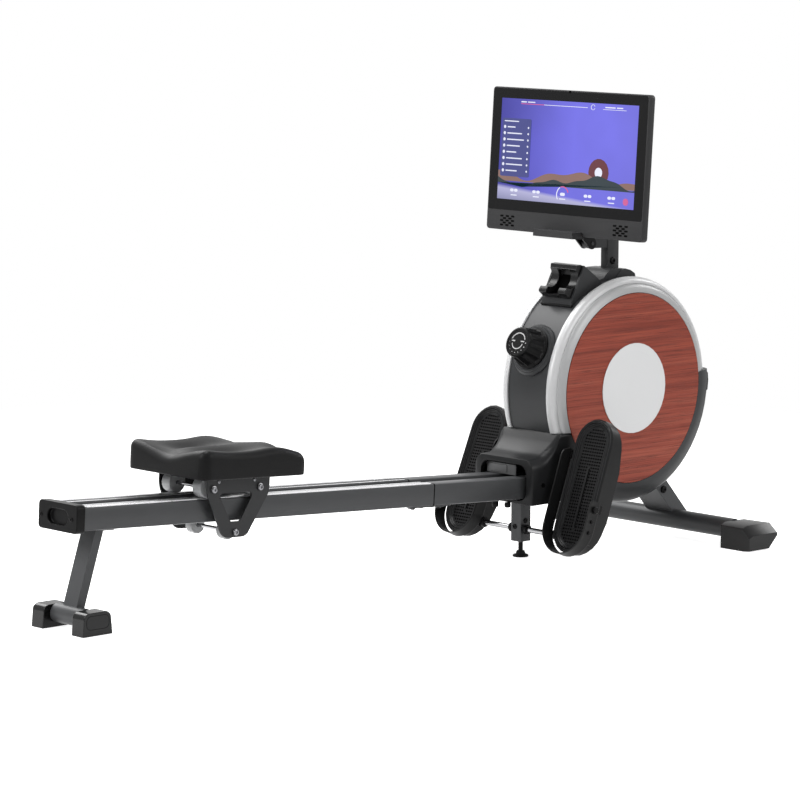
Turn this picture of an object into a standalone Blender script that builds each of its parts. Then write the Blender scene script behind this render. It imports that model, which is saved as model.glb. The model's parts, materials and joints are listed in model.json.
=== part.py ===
"""Magnetic rowing machine: two inclined rails with a rolling seat, a drum that houses the
flywheel and the strap spool, pivoting footplates, and a display on a short mast.

Metres, +Z up. +X runs along the rails from the rear stand to the drum, -Y is the rower's
right-hand side, and the floor is z = 0. The origin is the middle of the footprint.
"""

import math

import bmesh
import bpy
from mathutils import Matrix

# Clearances
GAP = 0.0003
PIVOT_GAP = 0.0004

# Drum centre, from which the front half is set out
DRUM_X = 0.62165
DRUM_Z = 0.351
DRUM_R = 0.2365
SHELL_WALL = 0.003
SHOULDER_Y = 0.0697
PANEL_SEAT_Y = 0.0842
PANEL_R = DRUM_R - 0.0301
PANEL_T = 0.004
DISC_R = 0.098
DISC_T = 0.0012
RIM_R = DRUM_R + 0.0040
RIM_INNER_R = PANEL_R + 0.0008
RIM_FACE_Y = 0.088
RIM_CUT_Z = DRUM_Z - 0.0802
DRUM_FACETS = 60
RIM_START = 5.0
RIM_FACETS = 35
COVER_FACETS = 19
COVER_R = DRUM_R + 0.0135
BUMP_R = DRUM_R + 0.0300
BUMP_FROM = 351.5
BUMP_TO = 365.0
BUMP_HALF_Y = 0.066

# Rails, in a frame that starts at the rear end cap and slopes down to the drum
RAIL_REAR_X = DRUM_X - 1.506
RAIL_REAR_Z = 0.2252
RAIL_SLOPE = math.radians(3.14)
RAIL_H = 0.046
RAIL_W = 0.038
RAIL_OUTER_Y = 0.058
RAIL_WALL = 0.002
RAIL_CORNER = 0.004
CAP_DEPTH = 0.021
CAP_HALF_Y = 0.0603
CAP_H = 0.056
CAP_CORNER = 0.009
POCKET_W = 0.064
POCKET_H = 0.030
POCKET_DEPTH = 0.009
JOINT_U = 0.942
RAIL_END_U = 1.285
TRACK_Y = 0.047
TRACK_W = 0.014
TRACK_T = 0.0015
TRACK_START_U = 0.029
TRACK_END_U = 0.936
SPLICE_HALF_L = 0.058
SPLICE_T = 0.003
SPLICE_INSET = 0.006
SPLICE_BOLT_Y = 0.0336

# Seat carriage, in the rail frame
SEAT_U = 0.3855
WHEELBASE = 0.120
ROLLER_R = 0.0210
ROLLER_W = 0.026
LOWER_ROLLER_R = 0.0182
LOWER_ROLLER_W = 0.020
ROLLER_Y = TRACK_Y
AXLE_R = 0.004
BOLT_R = 0.0062
BOLT_T = 0.0032
LIFT_GAP = 0.0012
PLATE_Y = 0.075
PLATE_T = 0.003
PLATE_TOP_W = 0.0720
PLATE_REAR_U = 0.0755
PLATE_FRONT_U = 0.0865
PLATE_KNEE_W = 0.030
PLATE_SHOULDER_W = 0.045
PLATE_LUG_R = 0.022
PLATE_LUG_U = 0.018
SEAT_HALF_Y = 0.121
SEAT_HALF_U = 0.136
SEAT_CORNER = 0.021
SEAT_AHEAD = 0.012
SEAT_RIM_W = 0.0685
SEAT_BEAD_H = 0.054

# Rear stand
REAR_FOOT_X = DRUM_X - 1.4735
REAR_FOOT_Z = 0.0285
REAR_FOOT_R = 0.019
REAR_PLUG_R = 0.015
REAR_LEG_TOP_X = DRUM_X - 1.4190
LEG_W = 0.042
LEG_T = 0.020
SADDLE_HALF_L = 0.020
SADDLE_HALF_Y = 0.046
SADDLE_T = 0.003
REAR_CAP_INNER_Y = 0.0446
REAR_CAP_OUTER_Y = 0.0812
REAR_CAP_L = 0.072
REAR_CAP_H = 0.046
SOCKET_DEPTH = 0.020

# Front stand
FRONT_FOOT_X = DRUM_X + 0.190
FRONT_FOOT_Z = 0.0375
FRONT_FOOT_R = 0.0215
FRONT_PLUG_R = 0.0145
FRONT_HALF_Y = 0.300
FRONT_CAP_INNER_Y = 0.216
FRONT_CAP_REAR_X = DRUM_X + 0.1445
FRONT_CAP_L = 0.066
FRONT_CAP_TOP_L = 0.094
FRONT_CAP_H = 0.056
FRONT_CAP_END_H = 0.035
FRONT_CAP_CHAMFER = 0.019
STRUT_FOOT_X = DRUM_X + 0.206
STRUT_ANGLE = math.radians(41.8)
STRUT_T = 0.034
STRUT_HALF_Y = 0.040
STRUT_L = 0.200
STRUT_FOOT_Z = 0.050
STRUT_CUT_FROM = 0.06

# Main frame
SIDE_Y = RAIL_OUTER_Y + GAP
SIDE_T = 0.004
CRADLE_START_U = 1.222
CRADLE_T = 0.003
STOP_T = 0.012
STOP_RISE = 0.018
BLOCK_HALF_X = 0.030
LEG_TUBE = 0.0295
CENTRE_LEG_X = DRUM_X - 0.2535
LEG_BOTTOM_Z = 0.0345
LEG_WALL = 0.0025
FOOT_STEM_R = 0.005
FOOT_R = 0.017
FOOT_H = 0.013
FOOT_TRAVEL = 0.009

# Neck cover
NECK_X = DRUM_X - DRUM_R - 0.0705
NECK_HALF_Y = 0.0875
NECK_WALL = 0.004
NECK_FLOOR = 0.0025
NECK_BOTTOM_Z = 0.1240
NECK_LIP_Z = 0.222
NECK_TOP_Z = DRUM_Z - 0.0806
NECK_LIP_CORNER = 0.024
MOUTH_HALF_Y = 0.069
MOUTH_BOTTOM_Z = 0.1315
MOUTH_TOP_Z = 0.2095
MOUTH_CORNER = 0.022

# Inner works
SPOOL_X = DRUM_X - 0.105
SPOOL_Z = DRUM_Z - 0.045
FLY_X = DRUM_X + 0.055
FLY_Z = DRUM_Z + 0.030
SHAFT_R = 0.006
SHAFT_HALF = 0.0618
FLY_R = 0.128
FLY_Y = -0.041
FLY_RIM_T = 0.014
FLY_RIM_IN = 0.095
FLY_WEB_T = 0.005
FLY_HUB_R = 0.020
BELT_Y = 0.027
BELT_W = 0.012
BELT_T = 0.002
DRIVE_R = 0.065
SMALL_R = 0.022
PULLEY_FLANGE = 0.003
SPOOL_CORE_R = 0.030
SPOOL_FLANGE_R = 0.052
SPOOL_IN_Y = -0.018
WOUND_R = 0.048
SPRING_R = 0.042
SPRING_IN_Y = -0.0215
MAGNET_GAP = 0.0025
MAGNET_T = 0.014
MAGNET_FROM = 112.0
MAGNET_TO = 170.0
MAGNET_W = 0.022
MAGNET_OPEN = math.radians(5.0)
MAGNET_PIN_R = 0.004

# Mast and display
MAST_X = DRUM_X + 0.013
MAST_W = 0.022
MAST_D = 0.036
MAST_WALL = 0.002
MAST_BOTTOM_Z = DRUM_Z + DRUM_R - 0.0875
MAST_TOP_Z = 0.705
BLOCK_LOW_Z = DRUM_Z + DRUM_R - 0.0575
BLOCK_HIGH_Z = DRUM_Z + DRUM_R - 0.0255
KNUCKLE_X = DRUM_X - 0.0555
KNUCKLE_Z = MAST_TOP_Z - 0.0424
KNUCKLE_R = 0.011
KNUCKLE_HALF_Y = 0.009
EAR_T = 0.004
EAR_R = 0.0125
TILT_PIN_R = 0.004
SCREEN_TILT = math.radians(3.77)
SCREEN_W = 0.467
SCREEN_H = 0.310
SCREEN_T = 0.018
SCREEN_FRONT = -0.0804
SCREEN_BOTTOM = 0.0168
SCREEN_CORNER = 0.008
BULGE_W = 0.300
BULGE_H = 0.190
BULGE_T = 0.018
GLASS_MARGIN = 0.003
GLASS_H = 0.2634
GLASS_T = 0.0012
LEDGE_W = 0.1174
LEDGE_D = 0.030
LEDGE_LOW = 0.0117
LEDGE_HIGH = 0.0262
BRACKET_W = 0.076
BRACKET_T = 0.004
BRACKET_H = 0.150

# Handle dock and top cover
DOCK_HALF_Y = 0.045
CRADLE_HALF_Y = 0.040
HANDLE_REST_R = 0.024
CRADLE_SLOT_HALF_Y = 0.0175
STRAP_WAY_X = DRUM_X - 0.125
STRAP_WAY_T = 0.012
STRAP_WAY_HALF_Y = 0.0125
COLLAR_HALF_Y = 0.038
LUG_IN_Y = 0.020

# Resistance knob, on a radius of the drum
KNOB_ANGLE = 156.9
KNOB_BASE_R = 0.0578
KNOB_STEP_R = 0.050
KNOB_BASE_LOW = DRUM_R - 0.0165
KNOB_BASE_TOP = DRUM_R + 0.0040
KNOB_STEP_TOP = DRUM_R + 0.0070
KNOB_FLANGE_R = 0.0457
KNOB_FOOT_R = 0.0415
KNOB_FACE_R = 0.0335
KNOB_FACE = DRUM_R + 0.0545
KNOB_FLUTES = 15
KNOB_SHAFT_R = 0.0045
KNOB_SHAFT_END = DRUM_R - 0.0225
CABLE_R = 0.0025

# Footplates
PEDAL_AXLE_X = DRUM_X - 0.2563
PEDAL_AXLE_Z = 0.0612
PEDAL_AXLE_R = 0.006
PEDAL_AXLE_HALF = 0.208
PEDAL_Y = 0.1656
PEDAL_TILT = math.radians(19.9)
LEFT_PEDAL_LEAN = math.radians(3.6)
PEDAL_HALF_W = 0.053
PEDAL_LOW = -0.0365
PEDAL_HIGH = 0.2568
PEDAL_REAR = 0.018
PEDAL_FRONT = 0.027
PEDAL_WALL = 0.003
PEDAL_BOSS_R = 0.012
HEEL_DEPTH = 0.010
TOE_DEPTH = 0.004
STRAP_OFFSET = 0.0045
STRAP_T = 0.0025
STRAP_LOW_N = 0.012
STRAP_HIGH_N = 0.044
STRAP_INNER_U = 0.185
STRAP_OUTER_U = 0.080


def clear_scene():
    for obj in list(bpy.data.objects):
        bpy.data.objects.remove(obj, do_unlink=True)


def material(name, colour, roughness, metallic=0.0):
    mat = bpy.data.materials.new(name)
    mat.use_nodes = True
    shader = mat.node_tree.nodes["Principled BSDF"]
    shader.inputs["Base Color"].default_value = (*colour, 1.0)
    shader.inputs["Roughness"].default_value = roughness
    shader.inputs["Metallic"].default_value = metallic
    return mat


def empty(name, location, angle_y=0.0, parent=None):
    """A frame whose X and Z are turned about Y, for pieces that share a slope or an axis."""
    obj = bpy.data.objects.new(name, None)
    bpy.context.scene.collection.objects.link(obj)
    obj.location = location
    obj.rotation_euler = (0.0, angle_y, 0.0)
    obj.parent = parent
    return obj


def solid(name, bm, mat=None, parent=None, location=(0.0, 0.0, 0.0)):
    bmesh.ops.remove_doubles(bm, verts=bm.verts, dist=1e-6)
    bmesh.ops.recalc_face_normals(bm, faces=bm.faces)
    mesh = bpy.data.meshes.new(name)
    bm.to_mesh(mesh)
    bm.free()
    if mat:
        mesh.materials.append(mat)
    mesh.shade_smooth()
    mesh.set_sharp_from_angle(angle=math.radians(32))
    obj = bpy.data.objects.new(name, mesh)
    bpy.context.scene.collection.objects.link(obj)
    obj.parent = parent
    obj.location = location
    return obj


def combine(obj, bm, operation="DIFFERENCE", parent=None, location=(0.0, 0.0, 0.0)):
    """Cuts a shape from the object, or joins it on. The shape stays as a hidden guide."""
    guide = solid(f"{obj.name}_{operation.lower()}", bm, None, parent, location)
    guide.hide_render = True
    guide.display_type = "WIRE"
    modifier = obj.modifiers.new(operation.title(), "BOOLEAN")
    modifier.operation = operation
    modifier.object = guide
    modifier.solver = "EXACT"


def on_axis(axis, a, b, along):
    """A point given in the plane across an axis, and its distance along that axis."""
    return {"X": (along, a, b), "Y": (a, along, b), "Z": (a, b, along)}[axis]


def prism(points, low, high, axis="Y"):
    bm = bmesh.new()
    ends = [[bm.verts.new(on_axis(axis, a, b, level)) for a, b in points] for level in (low, high)]
    bm.faces.new(ends[0])
    bm.faces.new(ends[1])
    count = len(points)
    for i in range(count):
        j = (i + 1) % count
        bm.faces.new((ends[0][i], ends[0][j], ends[1][j], ends[1][i]))
    return bm


def hollow_prism(outer, inner, low, high, axis="Y"):
    """A tube of any section: both outlines have the same number of points."""
    bm = bmesh.new()
    rings = []
    for points, level in ((outer, low), (outer, high), (inner, high), (inner, low)):
        rings.append([bm.verts.new(on_axis(axis, a, b, level)) for a, b in points])
    bridge(bm, rings, True)
    return bm


def bridge(bm, rings, closed):
    """Faces between successive rings of points, and from the last ring to the first if closed."""
    count = len(rings[0])
    last = len(rings) if closed else len(rings) - 1
    for k in range(last):
        near, far = rings[k], rings[(k + 1) % len(rings)]
        for i in range(count):
            j = (i + 1) % count
            bm.faces.new((near[i], near[j], far[j], far[i]))


def lofted(rings):
    """A closed form through rings of points, with a flat face over the first and the last."""
    bm = bmesh.new()
    made = [[bm.verts.new(point) for point in ring] for ring in rings]
    bridge(bm, made, False)
    bm.faces.new(made[0])
    bm.faces.new(made[-1])
    return bm


def turned(profile, steps=48, start=0.0, sweep=360.0, axis="Y"):
    """A profile of (radius, distance along the axis) turned about the axis, angles in degrees."""
    bm = bmesh.new()
    full = sweep >= 360.0
    count = steps if full else steps + 1
    rings = []
    for k in range(count):
        angle = math.radians(start + sweep * k / steps)
        ring = [on_axis(axis, r * math.cos(angle), r * math.sin(angle), h) for r, h in profile]
        rings.append([bm.verts.new(point) for point in ring])
    bridge(bm, rings, full)
    if not full:
        bm.faces.new(rings[0])
        bm.faces.new(rings[-1])
    return bm


def drum_turned(profile, first=0, count=DRUM_FACETS, trim=0.0):
    """A profile turned about the drum's axis over whole facets, so that nested pieces run parallel."""
    step = 360.0 / DRUM_FACETS
    return turned(profile, count, RIM_START + first * step + trim, count * step - trim)


def drum_cylinder(radius, half):
    return drum_turned([(0, -half), (radius, -half), (radius, half), (0, half)])


def cylinder(radius, low, high, axis="Y", steps=32):
    return turned([(0, low), (radius, low), (radius, high), (0, high)], steps, axis=axis)


def box(x0, x1, y0, y1, z0, z1):
    return prism([(x0, z0), (x1, z0), (x1, z1), (x0, z1)], y0, y1)


def arc(a, b, radius, start, end, steps):
    """Points on a circle from one angle to another, in degrees."""
    points = []
    for k in range(steps + 1):
        angle = math.radians(start + (end - start) * k / steps)
        points.append((a + radius * math.cos(angle), b + radius * math.sin(angle)))
    return points


def rounded(a0, a1, b0, b1, radius, steps=4):
    """A rectangle with round corners, as a list of points."""
    return (
        arc(a1 - radius, b1 - radius, radius, 0, 90, steps)
        + arc(a0 + radius, b1 - radius, radius, 90, 180, steps)
        + arc(a0 + radius, b0 + radius, radius, 180, 270, steps)
        + arc(a1 - radius, b0 + radius, radius, 270, 360, steps)
    )


def moved(bm, matrix):
    bmesh.ops.transform(bm, matrix=matrix, verts=bm.verts)
    return bm


def soften(obj, width, segments=2, angle=40):
    modifier = obj.modifiers.new("Bevel", "BEVEL")
    modifier.width = width
    modifier.segments = segments
    modifier.limit_method = "ANGLE"
    modifier.angle_limit = math.radians(angle)
    modifier.harden_normals = False


def shift(points, dx=DRUM_X, dz=DRUM_Z):
    """Points that are given from the drum centre, moved to their place."""
    return [(x + dx, z + dz) for x, z in points]


def make_materials():
    return {
        "frame": material("frame", (0.085, 0.088, 0.092), 0.38, 0.5),
        "shell": material("shell", (0.075, 0.077, 0.080), 0.42),
        "black": material("black", (0.014, 0.014, 0.015), 0.50),
        "rubber": material("rubber", (0.018, 0.018, 0.019), 0.75),
        "silver": material("silver", (0.62, 0.63, 0.64), 0.25, 0.9),
        "steel": material("steel", (0.70, 0.70, 0.71), 0.18, 1.0),
        "wood": material("wood", (0.30, 0.075, 0.045), 0.45),
        "disc": material("disc", (0.68, 0.68, 0.69), 0.35, 0.4),
        "iron": material("iron", (0.12, 0.12, 0.13), 0.45, 0.8),
        "roller": material("roller", (0.42, 0.43, 0.44), 0.35),
        "glass": material("glass", (0.02, 0.03, 0.10), 0.08),
        "webbing": material("webbing", (0.02, 0.02, 0.022), 0.85),
    }


def rail_height(x):
    """Height of the rails' centre line where it crosses a station."""
    return RAIL_REAR_Z - math.tan(RAIL_SLOPE) * (x - RAIL_REAR_X)


def rail_section(inset, side):
    near, far = sorted((side * (RAIL_OUTER_Y - inset), side * (RAIL_OUTER_Y - RAIL_W + inset)))
    half = RAIL_H / 2 - inset
    return rounded(near, far, -half, half, RAIL_CORNER - inset, 2)


def make_rails(mats, rails):
    """Four box-section rails in two pairs, their steel tracks, the end cap and the splice plate."""
    rear_start = CAP_DEPTH + GAP
    for name, side in (("left", 1), ("right", -1)):
        outer, inner = rail_section(0.0, side), rail_section(RAIL_WALL, side)
        rear = hollow_prism(outer, inner, rear_start, JOINT_U, "X")
        solid(f"rear_rail_{name}", rear, mats["frame"], rails)
        front = hollow_prism(outer, inner, JOINT_U + GAP, RAIL_END_U, "X")
        solid(f"front_rail_{name}", front, mats["frame"], rails)
        low = RAIL_H / 2 + GAP
        near, far = side * TRACK_Y - TRACK_W / 2, side * TRACK_Y + TRACK_W / 2
        outline = arc(TRACK_START_U, side * TRACK_Y, TRACK_W / 2, 90, 270, 8)
        outline += [(TRACK_END_U, near), (TRACK_END_U, far)]
        solid(f"track_{name}", prism(outline, low, low + TRACK_T, "Z"), mats["steel"], rails)
    outline = rounded(-CAP_HALF_Y, CAP_HALF_Y, -CAP_H / 2, CAP_H / 2, CAP_CORNER, 5)
    cap = solid("rail_end_cap", prism(outline, 0, CAP_DEPTH, "X"), mats["black"], rails)
    pocket = rounded(-POCKET_W / 2, POCKET_W / 2, -POCKET_H / 2, POCKET_H / 2, POCKET_H / 2 - 0.0001, 5)
    combine(cap, prism(pocket, -0.01, POCKET_DEPTH, "X"), "DIFFERENCE", rails)
    soften(cap, 0.0015, 1)
    top = -RAIL_H / 2 - GAP
    half_y = RAIL_OUTER_Y - SPLICE_INSET
    outline = rounded(JOINT_U - SPLICE_HALF_L, JOINT_U + SPLICE_HALF_L, -half_y, half_y, SPLICE_INSET, 3)
    splice = solid("splice_plate", prism(outline, top - SPLICE_T, top, "Z"), mats["frame"], rails)
    for k in (-1.5, -0.5, 0.5, 1.5):
        bolt = cylinder(BOLT_R, top - SPLICE_T - BOLT_T, top - SPLICE_T / 2, "Z", 10)
        moved(bolt, Matrix.Translation((JOINT_U + k * SPLICE_HALF_L / 2, -SPLICE_BOLT_Y, 0)))
        combine(splice, bolt, "UNION", rails)


def upper_axle_w():
    return RAIL_H / 2 + GAP + TRACK_T + GAP + ROLLER_R


def lower_axle_w():
    return -RAIL_H / 2 - LIFT_GAP - LOWER_ROLLER_R


def seat_bracket_side():
    """The triangular side of the folded bracket, above and below the rail's centre line."""
    lug_w = lower_axle_w() - PLATE_LUG_R / 2 + PLATE_LUG_R
    return (
        arc(-PLATE_LUG_U, lug_w, PLATE_LUG_R, 205, 270, 4)
        + arc(PLATE_LUG_U, lug_w, PLATE_LUG_R, 270, 335, 4)
        + [
            (PLATE_FRONT_U - 0.003, PLATE_KNEE_W),
            (PLATE_FRONT_U, PLATE_SHOULDER_W),
            (PLATE_FRONT_U, PLATE_TOP_W),
            (-PLATE_REAR_U, PLATE_TOP_W),
            (-PLATE_REAR_U, PLATE_SHOULDER_W),
            (0.003 - PLATE_REAR_U, PLATE_KNEE_W),
        ]
    )


def make_seat_bracket(mats, carriage):
    """One folded sheet: a flat top that carries the seat, and a triangular side with a window."""
    floor = lower_axle_w() - 0.03
    inner_top = PLATE_TOP_W - PLATE_T
    channel = [
        (-PLATE_Y, floor),
        (-PLATE_Y, PLATE_TOP_W),
        (PLATE_Y, PLATE_TOP_W),
        (PLATE_Y, floor),
        (PLATE_Y - PLATE_T, floor),
        (PLATE_Y - PLATE_T, inner_top),
        (PLATE_T - PLATE_Y, inner_top),
        (PLATE_T - PLATE_Y, floor),
    ]
    folded = prism(channel, -PLATE_REAR_U, PLATE_FRONT_U, "X")
    bracket = solid("seat_bracket", folded, mats["frame"], carriage)
    reach = PLATE_Y + 0.01
    combine(bracket, prism(seat_bracket_side(), -reach, reach), "INTERSECT", carriage)
    window = (
        arc(0.034, 0.029, 0.007, -30, 90, 3)
        + arc(-0.034, 0.029, 0.007, 90, 210, 3)
        + arc(-0.008, -0.0135, 0.008, 210, 270, 2)
        + arc(0.008, -0.0135, 0.008, 270, 330, 2)
    )
    combine(bracket, prism(window, -reach, reach), "DIFFERENCE", carriage)
    for u, w in axle_places():
        hole = cylinder(AXLE_R + GAP, -reach, reach, "Y", 12)
        combine(bracket, moved(hole, Matrix.Translation((u, 0, w))), "DIFFERENCE", carriage)
    return bracket


def axle_places():
    """Rear, front and lower axle, from the middle of the carriage."""
    return (
        (-WHEELBASE / 2, upper_axle_w()),
        (WHEELBASE / 2, upper_axle_w()),
        (0.0, lower_axle_w()),
    )


def roller_profile(radius, width):
    bore, half, edge = AXLE_R + PIVOT_GAP, width / 2, 0.0015
    outer = [(bore, -half), (radius - edge, -half), (radius, edge - half)]
    return outer + [(r, -h) for r, h in reversed(outer)]


def make_axles(mats, carriage):
    """Three axles with a bolt head outside each side of the bracket, and two rollers on each."""
    for (u, w), name in zip(axle_places(), ("rear", "front", "lower")):
        head = PLATE_Y + GAP
        profile = [(0, -head - BOLT_T), (BOLT_R, -head - BOLT_T), (BOLT_R, -head), (AXLE_R, -head)]
        profile += [(r, -h) for r, h in reversed(profile)]
        solid(f"{name}_seat_axle", turned(profile, 12), mats["steel"], carriage, (u, 0, w))
        radius, width = (LOWER_ROLLER_R, LOWER_ROLLER_W) if name == "lower" else (ROLLER_R, ROLLER_W)
        for side, place in (("left", 1), ("right", -1)):
            wheel = turned(roller_profile(radius, width), 18)
            solid(f"{name}_roller_{side}", wheel, mats["roller"], carriage, (u, place * ROLLER_Y, w))


def hill(value, centre, width):
    """A smooth rise of height 1 at the centre that fades over the width."""
    return math.exp(-(((value - centre) / width) ** 2))


def seat_height(a, b):
    """Height of the moulded seat over its rim. a runs from -1 at the rear to 1 at the front, b across."""
    wings = 0.008 * hill(a, -1.0, 0.35) * b * b + 0.006 * hill(a, 0.4, 0.3) * b * b
    notch = -0.016 * hill(a, -1.0, 0.32) * hill(b, 0.0, 0.4)
    scoops = -0.017 * hill(a, -0.2, 0.5) * hill(abs(b), 0.42, 0.28)
    thighs = -0.015 * hill(a, 1.0, 0.35) * hill(abs(b), 0.55, 0.28)
    corners = -0.012 * hill(a, 1.05, 0.3) * b**4
    return SEAT_BEAD_H + wings + notch + scoops + thighs + corners


def seat_outline(inset):
    """The seat's rounded outline from above, drawn in by inset, with points along its straight sides."""
    half_u, half_y, radius = SEAT_HALF_U - inset, SEAT_HALF_Y - inset, SEAT_CORNER - inset
    corners = rounded(-half_u, half_u, -half_y, half_y, radius, 3)
    points = []
    for k, (a, b) in enumerate(corners):
        points.append((a, b))
        if k % 4 == 3:
            c, d = corners[(k + 1) % len(corners)]
            points += [(a + (c - a) * step / 6, b + (d - b) * step / 6) for step in range(1, 6)]
    return points


def make_seat_pad(mats, carriage):
    """The moulded seat: a straight wall, a round bead on top of it and two scoops between the beads."""
    rings = []
    for inset, level in ((0.003, 0.0), (0.0, 0.004)):
        rings.append([(x + SEAT_AHEAD, y, SEAT_RIM_W + level) for x, y in seat_outline(inset)])
    shapes = [(1.0, 0.0, 0.0185), (1.0, 0.004, 0.0090), (1.0, 0.009, 0.0035), (1.0, 0.017, 0.0004)]
    shapes += [(scale, 0.017, 0.0) for scale in (0.86, 0.70, 0.54, 0.36, 0.18, 0.03)]
    for scale, inset, drop in shapes:
        ring = []
        for x, y in seat_outline(inset):
            top = seat_height(x * scale / SEAT_HALF_U, y * scale / SEAT_HALF_Y)
            ring.append((x * scale + SEAT_AHEAD, y * scale, SEAT_RIM_W + top - drop))
        rings.append(ring)
    pad = solid("seat_pad", lofted(rings), mats["black"], carriage)
    margin = 0.004
    half_y = PLATE_Y + margin
    recess = rounded(-PLATE_REAR_U - margin, PLATE_FRONT_U + margin, -half_y, half_y, 0.006, 3)
    combine(pad, prism(recess, SEAT_RIM_W - 0.01, PLATE_TOP_W + GAP, "Z"), "DIFFERENCE", carriage)


def foot_tube(radius, plug_radius, inner, depth):
    """A round tube along Y whose two ends are drawn in to plug into the foot caps."""
    end, shoulder = inner + depth, inner - GAP
    half = [(0, end), (plug_radius, end), (plug_radius, shoulder), (radius, shoulder)]
    return turned([(r, -y) for r, y in half] + half[::-1], 24)


def make_rear_stand(mats, rails):
    """A slanted leg welded to a round foot tube and to the saddle plate that is bolted under the rails."""
    tube = foot_tube(REAR_FOOT_R, REAR_PLUG_R, REAR_CAP_INNER_Y, SOCKET_DEPTH)
    stand = solid("rear_stand", tube, mats["frame"], None, (REAR_FOOT_X, 0, REAR_FOOT_Z))
    top_z = rail_height(REAR_LEG_TOP_X) - (RAIL_H / 2 + GAP + SADDLE_T / 2) / math.cos(RAIL_SLOPE)
    lean = (REAR_LEG_TOP_X - REAR_FOOT_X) / (top_z - REAR_FOOT_Z)
    half = LEG_T / 2 / math.cos(math.atan(lean))
    slope = math.tan(RAIL_SLOPE)
    side = [
        (-half, 0),
        (half, 0),
        (lean * (top_z - REAR_FOOT_Z) + half, top_z - REAR_FOOT_Z - slope * half),
        (lean * (top_z - REAR_FOOT_Z) - half, top_z - REAR_FOOT_Z + slope * half),
    ]
    combine(stand, prism(side, -LEG_W / 2, LEG_W / 2), "UNION", None, (REAR_FOOT_X, 0, REAR_FOOT_Z))
    middle = (REAR_LEG_TOP_X - RAIL_REAR_X) / math.cos(RAIL_SLOPE)
    under = -RAIL_H / 2 - GAP
    low, high = middle - SADDLE_HALF_L, middle + SADDLE_HALF_L
    saddle = rounded(low, high, -SADDLE_HALF_Y, SADDLE_HALF_Y, 0.006, 2)
    combine(stand, prism(saddle, under - SADDLE_T, under, "Z"), "UNION", rails)
    for name, side in (("left", 1), ("right", -1)):
        make_rear_cap(mats, name, side)


def make_rear_cap(mats, name, side):
    half = REAR_CAP_L / 2
    outline = [(-half, 0), (half, 0)] + arc(half - 0.012, REAR_CAP_H - 0.020, 0.013, 20, 75, 3)
    outline += arc(0, REAR_CAP_H - 0.012, 0.012, 70, 110, 3)
    outline += arc(0.012 - half, REAR_CAP_H - 0.020, 0.013, 105, 160, 3)
    low, high = sorted((side * REAR_CAP_INNER_Y, side * REAR_CAP_OUTER_Y))
    cap = solid(f"rear_foot_cap_{name}", prism(outline, low, high), mats["black"], None, (REAR_FOOT_X, 0, 0))
    socket = sorted((side * (REAR_CAP_INNER_Y - 0.01), side * (REAR_CAP_INNER_Y + SOCKET_DEPTH + GAP)))
    bore = cylinder(REAR_PLUG_R + GAP, *socket, "Y", 24)
    combine(cap, bore, "DIFFERENCE", None, (REAR_FOOT_X, 0, REAR_FOOT_Z))
    panel = rounded(-half + 0.009, half - 0.012, 0.006, REAR_CAP_H - 0.013, 0.010, 4)
    face = sorted((side * (REAR_CAP_OUTER_Y - 0.0015), side * (REAR_CAP_OUTER_Y + 0.01)))
    combine(cap, prism(panel, *face), "DIFFERENCE", None, (REAR_FOOT_X, 0, 0))


def make_front_stand(mats):
    """A wide round foot tube with a slanted box strut welded to it, and a wedge cap on each end."""
    tube = foot_tube(FRONT_FOOT_R, FRONT_PLUG_R, FRONT_CAP_INNER_Y, SOCKET_DEPTH)
    stand = solid("front_stand", tube, mats["frame"], None, (FRONT_FOOT_X, 0, FRONT_FOOT_Z))
    combine(stand, prism(strut_outline(0.0, 0.0, STRUT_L), -STRUT_HALF_Y, STRUT_HALF_Y), "UNION")
    for name, side in (("left", 1), ("right", -1)):
        make_front_cap(mats, name, side)


def strut_outline(extra, start, end):
    """The strut seen from the side, between two distances up its slope, widened by extra."""
    sin, cos = math.sin(STRUT_ANGLE), math.cos(STRUT_ANGLE)
    half = STRUT_T / 2 + extra
    foot = half / cos
    low = [(-foot, 0), (foot, 0)] if start == 0.0 else [
        (-start * sin - half * cos, start * cos - half * sin),
        (-start * sin + half * cos, start * cos + half * sin),
    ]
    high = [
        (-end * sin + half * cos, end * cos + half * sin),
        (-end * sin - half * cos, end * cos - half * sin),
    ]
    return shift(low + high, STRUT_FOOT_X, STRUT_FOOT_Z)


def make_front_cap(mats, name, side):
    """A block whose front leans out, with a wide chamfer on its outer end."""
    rear, front, lean = FRONT_CAP_REAR_X, FRONT_CAP_REAR_X + FRONT_CAP_L, FRONT_CAP_REAR_X + FRONT_CAP_TOP_L
    rings = []
    for y, top, nose in (
        (FRONT_CAP_INNER_Y, FRONT_CAP_H, 0.018),
        (FRONT_CAP_INNER_Y + 0.046, FRONT_CAP_H - 0.0003, 0.014),
        (FRONT_HALF_Y - FRONT_CAP_CHAMFER, FRONT_CAP_H - 0.0008, 0.008),
        (FRONT_HALF_Y, FRONT_CAP_END_H, 0.003),
    ):
        inset = 0.002 if y == FRONT_HALF_Y else 0.0
        ring = [(rear, y, inset), (front - inset, y, inset), (lean - inset, y, FRONT_CAP_END_H - 0.006)]
        ring += [(lean - nose, y, top - 0.0005), (rear + 0.012, y, top), (rear, y, top - 0.006)]
        rings.append([(x, side * v, z) for x, v, z in ring])
    cap = solid(f"front_foot_cap_{name}", lofted(rings), mats["black"])
    socket = sorted((side * (FRONT_CAP_INNER_Y - 0.01), side * (FRONT_CAP_INNER_Y + SOCKET_DEPTH + GAP)))
    bore = cylinder(FRONT_PLUG_R + GAP, *socket, "Y", 24)
    combine(cap, bore, "DIFFERENCE", None, (FRONT_FOOT_X, 0, FRONT_FOOT_Z))


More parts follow.
